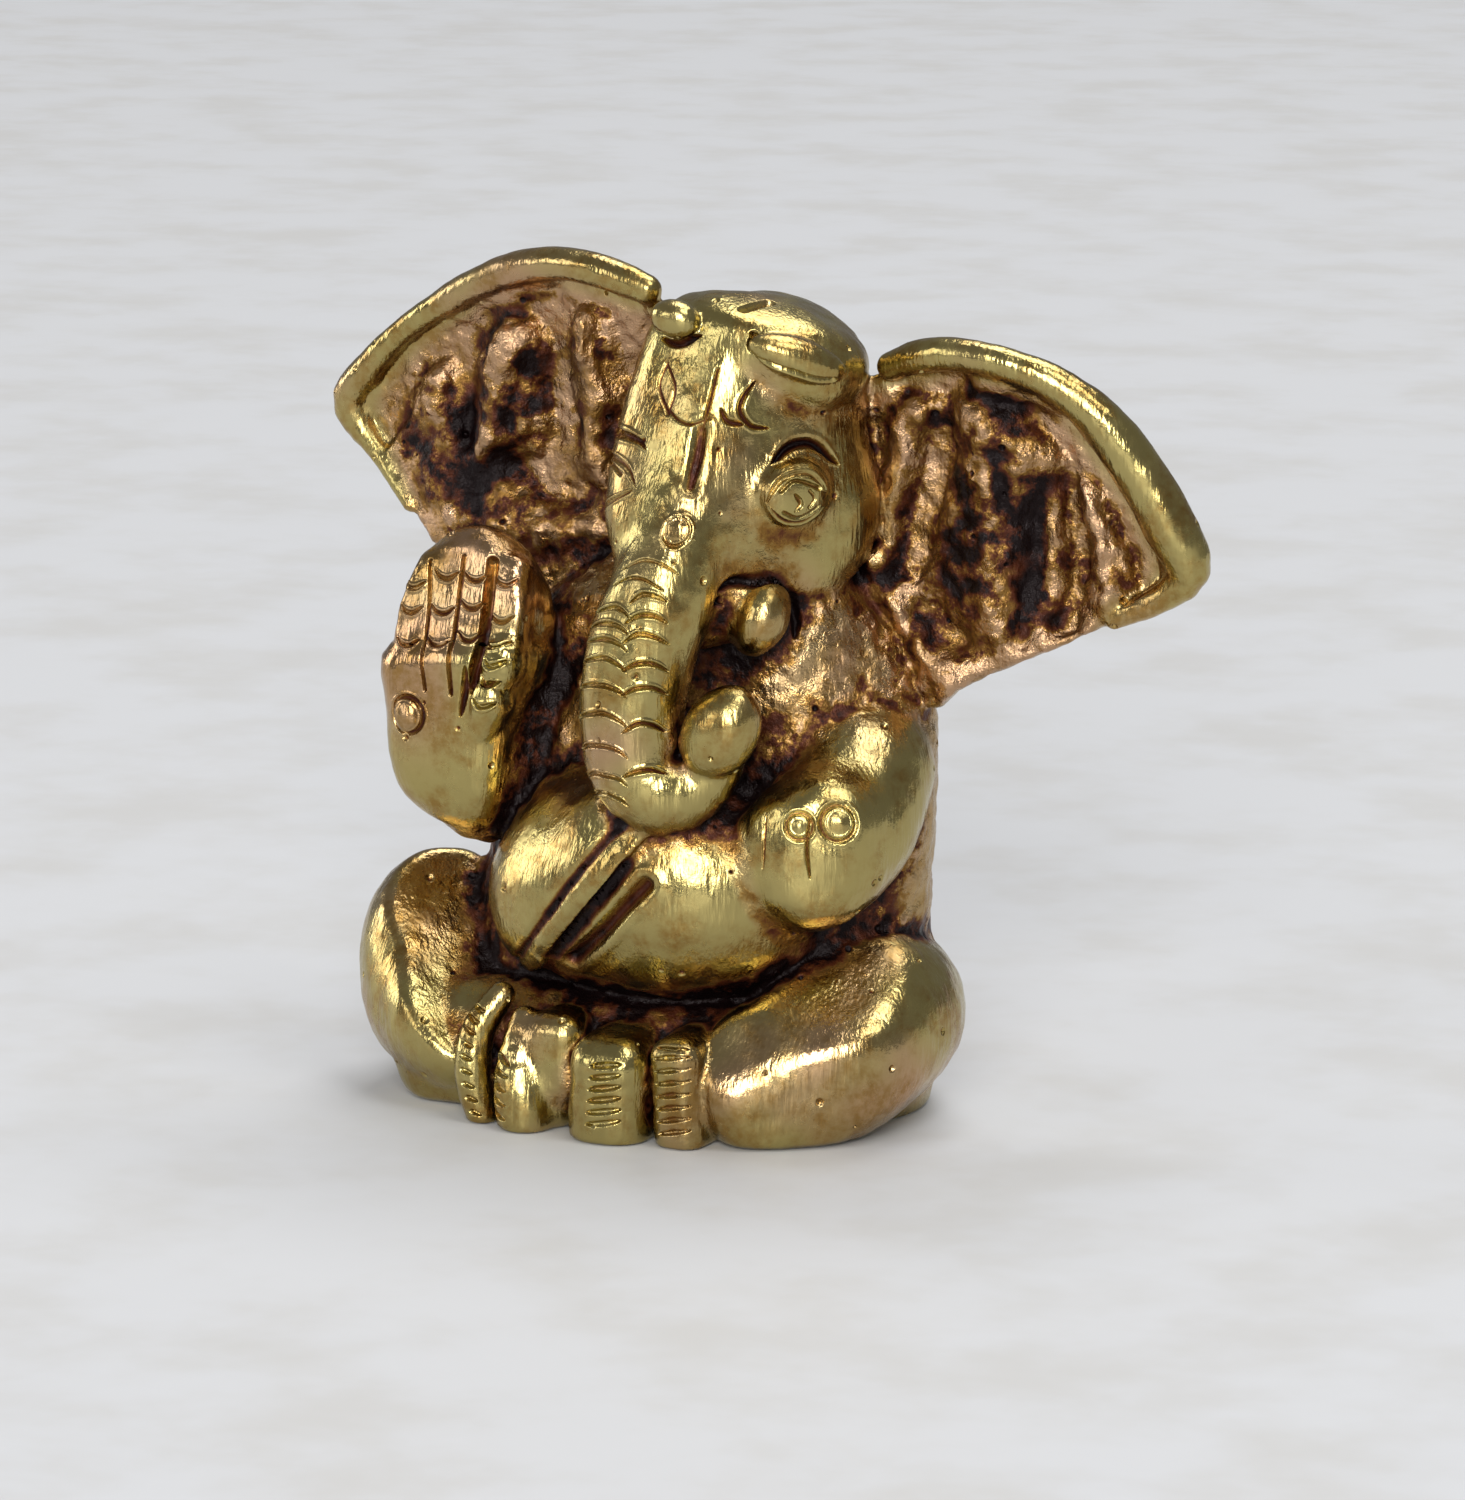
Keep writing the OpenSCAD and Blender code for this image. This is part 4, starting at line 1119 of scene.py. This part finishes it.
def shape_idol():
    """The finished pieces by node."""
    clay = build_clay()
    merge_crumbs(clay)
    untangle(clay)
    faces = Faces(*skin(clay))
    marks = face_lines() + hand_lines() + body_lines()
    for mark in marks:
        mark.settle(clay)
    marks += casting_pits(faces.points[faces.outer])
    refine(faces, marks, clay)
    normals, layers = weather_and_shade(faces, marks, clay)
    made = {}
    for number, name in enumerate(clay.names[1:], 1):
        quads = faces.quads[faces.sides[:, 0] == number]
        back = faces.quads[faces.sides[:, 1] == number][:, ::-1]
        many = [loop for loop, side in zip(faces.many, faces.many_sides) if side[0] == number]
        many += [loop[::-1] for loop, side in zip(faces.many, faces.many_sides) if side[1] == number]
        made[name] = make_piece(name + "_casting", faces.points, normals, layers,
                                np.concatenate([quads, back]), many)
    return made


# ---------------- brass, its patina and painted shade

YELLOW_BRASS = (0.395, 0.32, 0.12)
PINK_BRASS = (0.45, 0.28, 0.16)
AMBER = (0.27, 0.145, 0.032)
BROWN = (0.070, 0.016, 0.005)
BLACK = (0.005, 0.0012, 0.0012)


class Nodes:
    """A short way to build a material around one Principled shader."""

    def __init__(self, name):
        self.material = bpy.data.materials.new(name)
        self.material.use_nodes = True
        self.tree = self.material.node_tree
        self.tree.nodes.clear()
        self.place = self.new("ShaderNodeTexCoord").outputs["Object"]
        shader = self.new("ShaderNodeBsdfPrincipled")
        self.inputs = shader.inputs
        self.link(shader.outputs["BSDF"], self.new("ShaderNodeOutputMaterial").inputs["Surface"])

    def new(self, kind, **settings):
        node = self.tree.nodes.new(kind)
        for key, value in settings.items():
            setattr(node, key, value)
        return node

    def link(self, a, b):
        self.tree.links.new(a, b)

    def layer(self, name):
        return self.new("ShaderNodeAttribute", attribute_name=name).outputs["Fac"]

    def math(self, kind, a, b):
        node = self.new("ShaderNodeMath", operation=kind)
        for socket, value in zip(node.inputs, (a, b)):
            if isinstance(value, (int, float)):
                socket.default_value = value
            else:
                self.link(value, socket)
        return node.outputs[0]

    def span(self, value, lo, hi, to_lo=0.0, to_hi=1.0):
        """value taken from lo..hi to to_lo..to_hi, softly, and held there outside."""
        node = self.new("ShaderNodeMapRange", interpolation_type="SMOOTHSTEP")
        self.link(value, node.inputs["Value"])
        for key, number in (("From Min", lo), ("From Max", hi), ("To Min", to_lo), ("To Max", to_hi)):
            node.inputs[key].default_value = number
        return node.outputs["Result"]

    def noise(self, scale, detail, rough, where=None):
        node = self.new("ShaderNodeTexNoise")
        node.inputs["Scale"].default_value = scale
        node.inputs["Detail"].default_value = detail
        node.inputs["Roughness"].default_value = rough
        self.link(where or self.place, node.inputs["Vector"])
        return node.outputs["Fac"]

    def mix(self, share, a, b):
        node = self.new("ShaderNodeMix", data_type="RGBA")
        self.link(share, node.inputs["Factor"])
        for socket, value in ((node.inputs[6], a), (node.inputs[7], b)):
            if isinstance(value, tuple):
                socket.default_value = (*value, 1)
            else:
                self.link(value, socket)
        return node.outputs[2]


def brass(name):
    """Cast brass, polished where a cloth reaches and dark with patina where it doesn't, with painted shade
    darkening sheltered areas and recesses.
    """
    n = Nodes(name)
    rough = n.layer("rough")
    hollow = n.layer("hollow")
    for scale, detail, amount in ((330, 4, 0.5), (1500, 3, 0.3)):
        blotch = n.math("SUBTRACT", n.noise(scale, detail, 0.6), 0.5)
        hollow = n.math("ADD", hollow, n.math("MULTIPLY", blotch, amount))
    crust = n.span(n.noise(420, 5, 0.7), 0.42, 0.62, -0.08, 0.34)
    hollow = n.math("ADD", hollow, n.math("MULTIPLY", rough, crust))
    film = n.math("MULTIPLY", n.span(n.noise(240, 6, 0.7), 0.43, 0.64),
                  n.span(n.noise(1800, 3, 0.7), 0.3, 0.6, 0.25, 0.8))
    # Amber, brown and black follow the hollow value: patina colours that also paint occlusion shade into
    # sheltered areas and recesses.
    amber = n.math("MAXIMUM", n.span(hollow, 1.56, 1.8), film)
    brown = n.span(hollow, 1.7, 1.96)
    black = n.span(hollow, 1.9, 2.2)
    warm = n.math("MAXIMUM", n.span(n.noise(90, 2, 0.5), 0.48, 0.72), rough)
    colour = n.mix(warm, YELLOW_BRASS, PINK_BRASS)
    for amount, patina in ((amber, AMBER), (brown, BROWN), (black, BLACK)):
        colour = n.mix(amount, colour, patina)
    n.link(colour, n.inputs["Base Color"])
    n.inputs["Specular IOR Level"].default_value = 0.22
    n.link(n.math("SUBTRACT", 1.0, n.math("MULTIPLY", brown, 0.6)), n.inputs["Metallic"])
    dull = n.math("ADD", n.span(n.noise(500, 4, 0.6), 0.3, 0.7, 0.15, 0.3), n.math("MULTIPLY", brown, 0.1))
    n.link(n.math("ADD", dull, n.math("MULTIPLY", rough, 0.06)), n.inputs["Roughness"])
    scratch = n.new("ShaderNodeMapping")
    n.link(n.place, scratch.inputs["Vector"])
    scratch.inputs["Scale"].default_value = (1, 1, 0.12)
    scratch.inputs["Rotation"].default_value = (0.3, 0.5, 0.2)
    lines = n.math("MULTIPLY", n.noise(4200, 2, 0.5, scratch.outputs["Vector"]), 0.24)
    grit = n.math("MULTIPLY", n.noise(2600, 3, 0.7), n.span(hollow, 1.5, 1.9, 0.1, 0.5))
    sand = n.math("MULTIPLY", n.noise(1500, 4, 0.7), n.math("MULTIPLY", rough, 1.1))
    bump = n.new("ShaderNodeBump")
    bump.inputs["Strength"].default_value = 0.5
    bump.inputs["Distance"].default_value = 0.00035
    n.link(n.math("ADD", n.math("ADD", lines, grit), sand), bump.inputs["Height"])
    n.link(bump.outputs["Normal"], n.inputs["Normal"])
    return n.material


def stone():
    """The pale floor."""
    n = Nodes("pale_floor")
    cloud = n.span(n.noise(60, 4, 0.6), 0.4, 0.7)
    n.link(n.mix(cloud, (0.575, 0.58, 0.59), (0.53, 0.525, 0.515)), n.inputs["Base Color"])
    n.inputs["Roughness"].default_value = 0.55
    return n.material


# ---------------- the idol, its floor, light and camera

FINISH = {"polished_brass": brass("polished_brass"), "chased_brass": brass("chased_brass"),
          "patinated_brass": brass("patinated_brass")}
for node, piece in shape_idol().items():
    finish = "chased_brass" if node in CHASED else "patinated_brass" if node in ROUGH else "polished_brass"
    piece.data.materials.append(FINISH[finish])
    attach(piece, "root")
    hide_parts(node)

bpy.ops.mesh.primitive_plane_add(size=12, location=(0, 0, 0))
floor = bpy.context.object
floor.name = "floor"
floor.data.materials.append(stone())


def lamp(name, place, size, power, tint=(1, 1, 1), aim=(0, 0, 0.022)):
    """A soft square light at a place in metres, aimed at the idol."""
    light = bpy.data.lights.new(name, "AREA")
    light.size = size
    light.energy = power
    light.color = tint
    thing = bpy.data.objects.new(name, light)
    thing.location = place
    thing.rotation_euler = (Vector(aim) - Vector(place)).to_track_quat("-Z", "Y").to_euler()
    bpy.context.scene.collection.objects.link(thing)


lamp("key", (0.8, -2.2, 1.0), 1.2, 52)
lamp("front_left", (-1.4, -1.9, 0.8), 0.9, 9)
lamp("left_window", (-2.3, -0.2, 0.5), 0.8, 10)
lamp("right_top", (1.2, -0.5, 2.2), 1.0, 18)
lamp("soft_top", (0.1, 1.0, 2.4), 1.5, 38)

world = bpy.data.worlds.new("studio")
world.use_nodes = True
world.node_tree.nodes["Background"].inputs["Color"].default_value = (0.78, 0.79, 0.82, 1)
world.node_tree.nodes["Background"].inputs["Strength"].default_value = 0.32
bpy.context.scene.world = world
bpy.context.scene.view_settings.view_transform = "Standard"

AZIMUTH, ELEVATION = math.radians(25), math.radians(12)
DISTANCE = 0.4
SEEN_WIDTH = 0.0882     # metres across the picture at the idol
SENSOR = 36
target = Vector((0, 0, 0.0215))
back = Vector((math.sin(AZIMUTH) * math.cos(ELEVATION), -math.cos(AZIMUTH) * math.cos(ELEVATION),
               math.sin(ELEVATION)))
camera = bpy.data.objects.new("camera", bpy.data.cameras.new("camera"))
camera.data.sensor_width = SENSOR
camera.data.lens = SENSOR * DISTANCE / SEEN_WIDTH
camera.data.clip_start = 0.01
camera.location = target + back * DISTANCE
camera.rotation_euler = (-back).to_track_quat("-Z", "Y").to_euler()
bpy.context.scene.collection.objects.link(camera)
bpy.context.scene.camera = camera
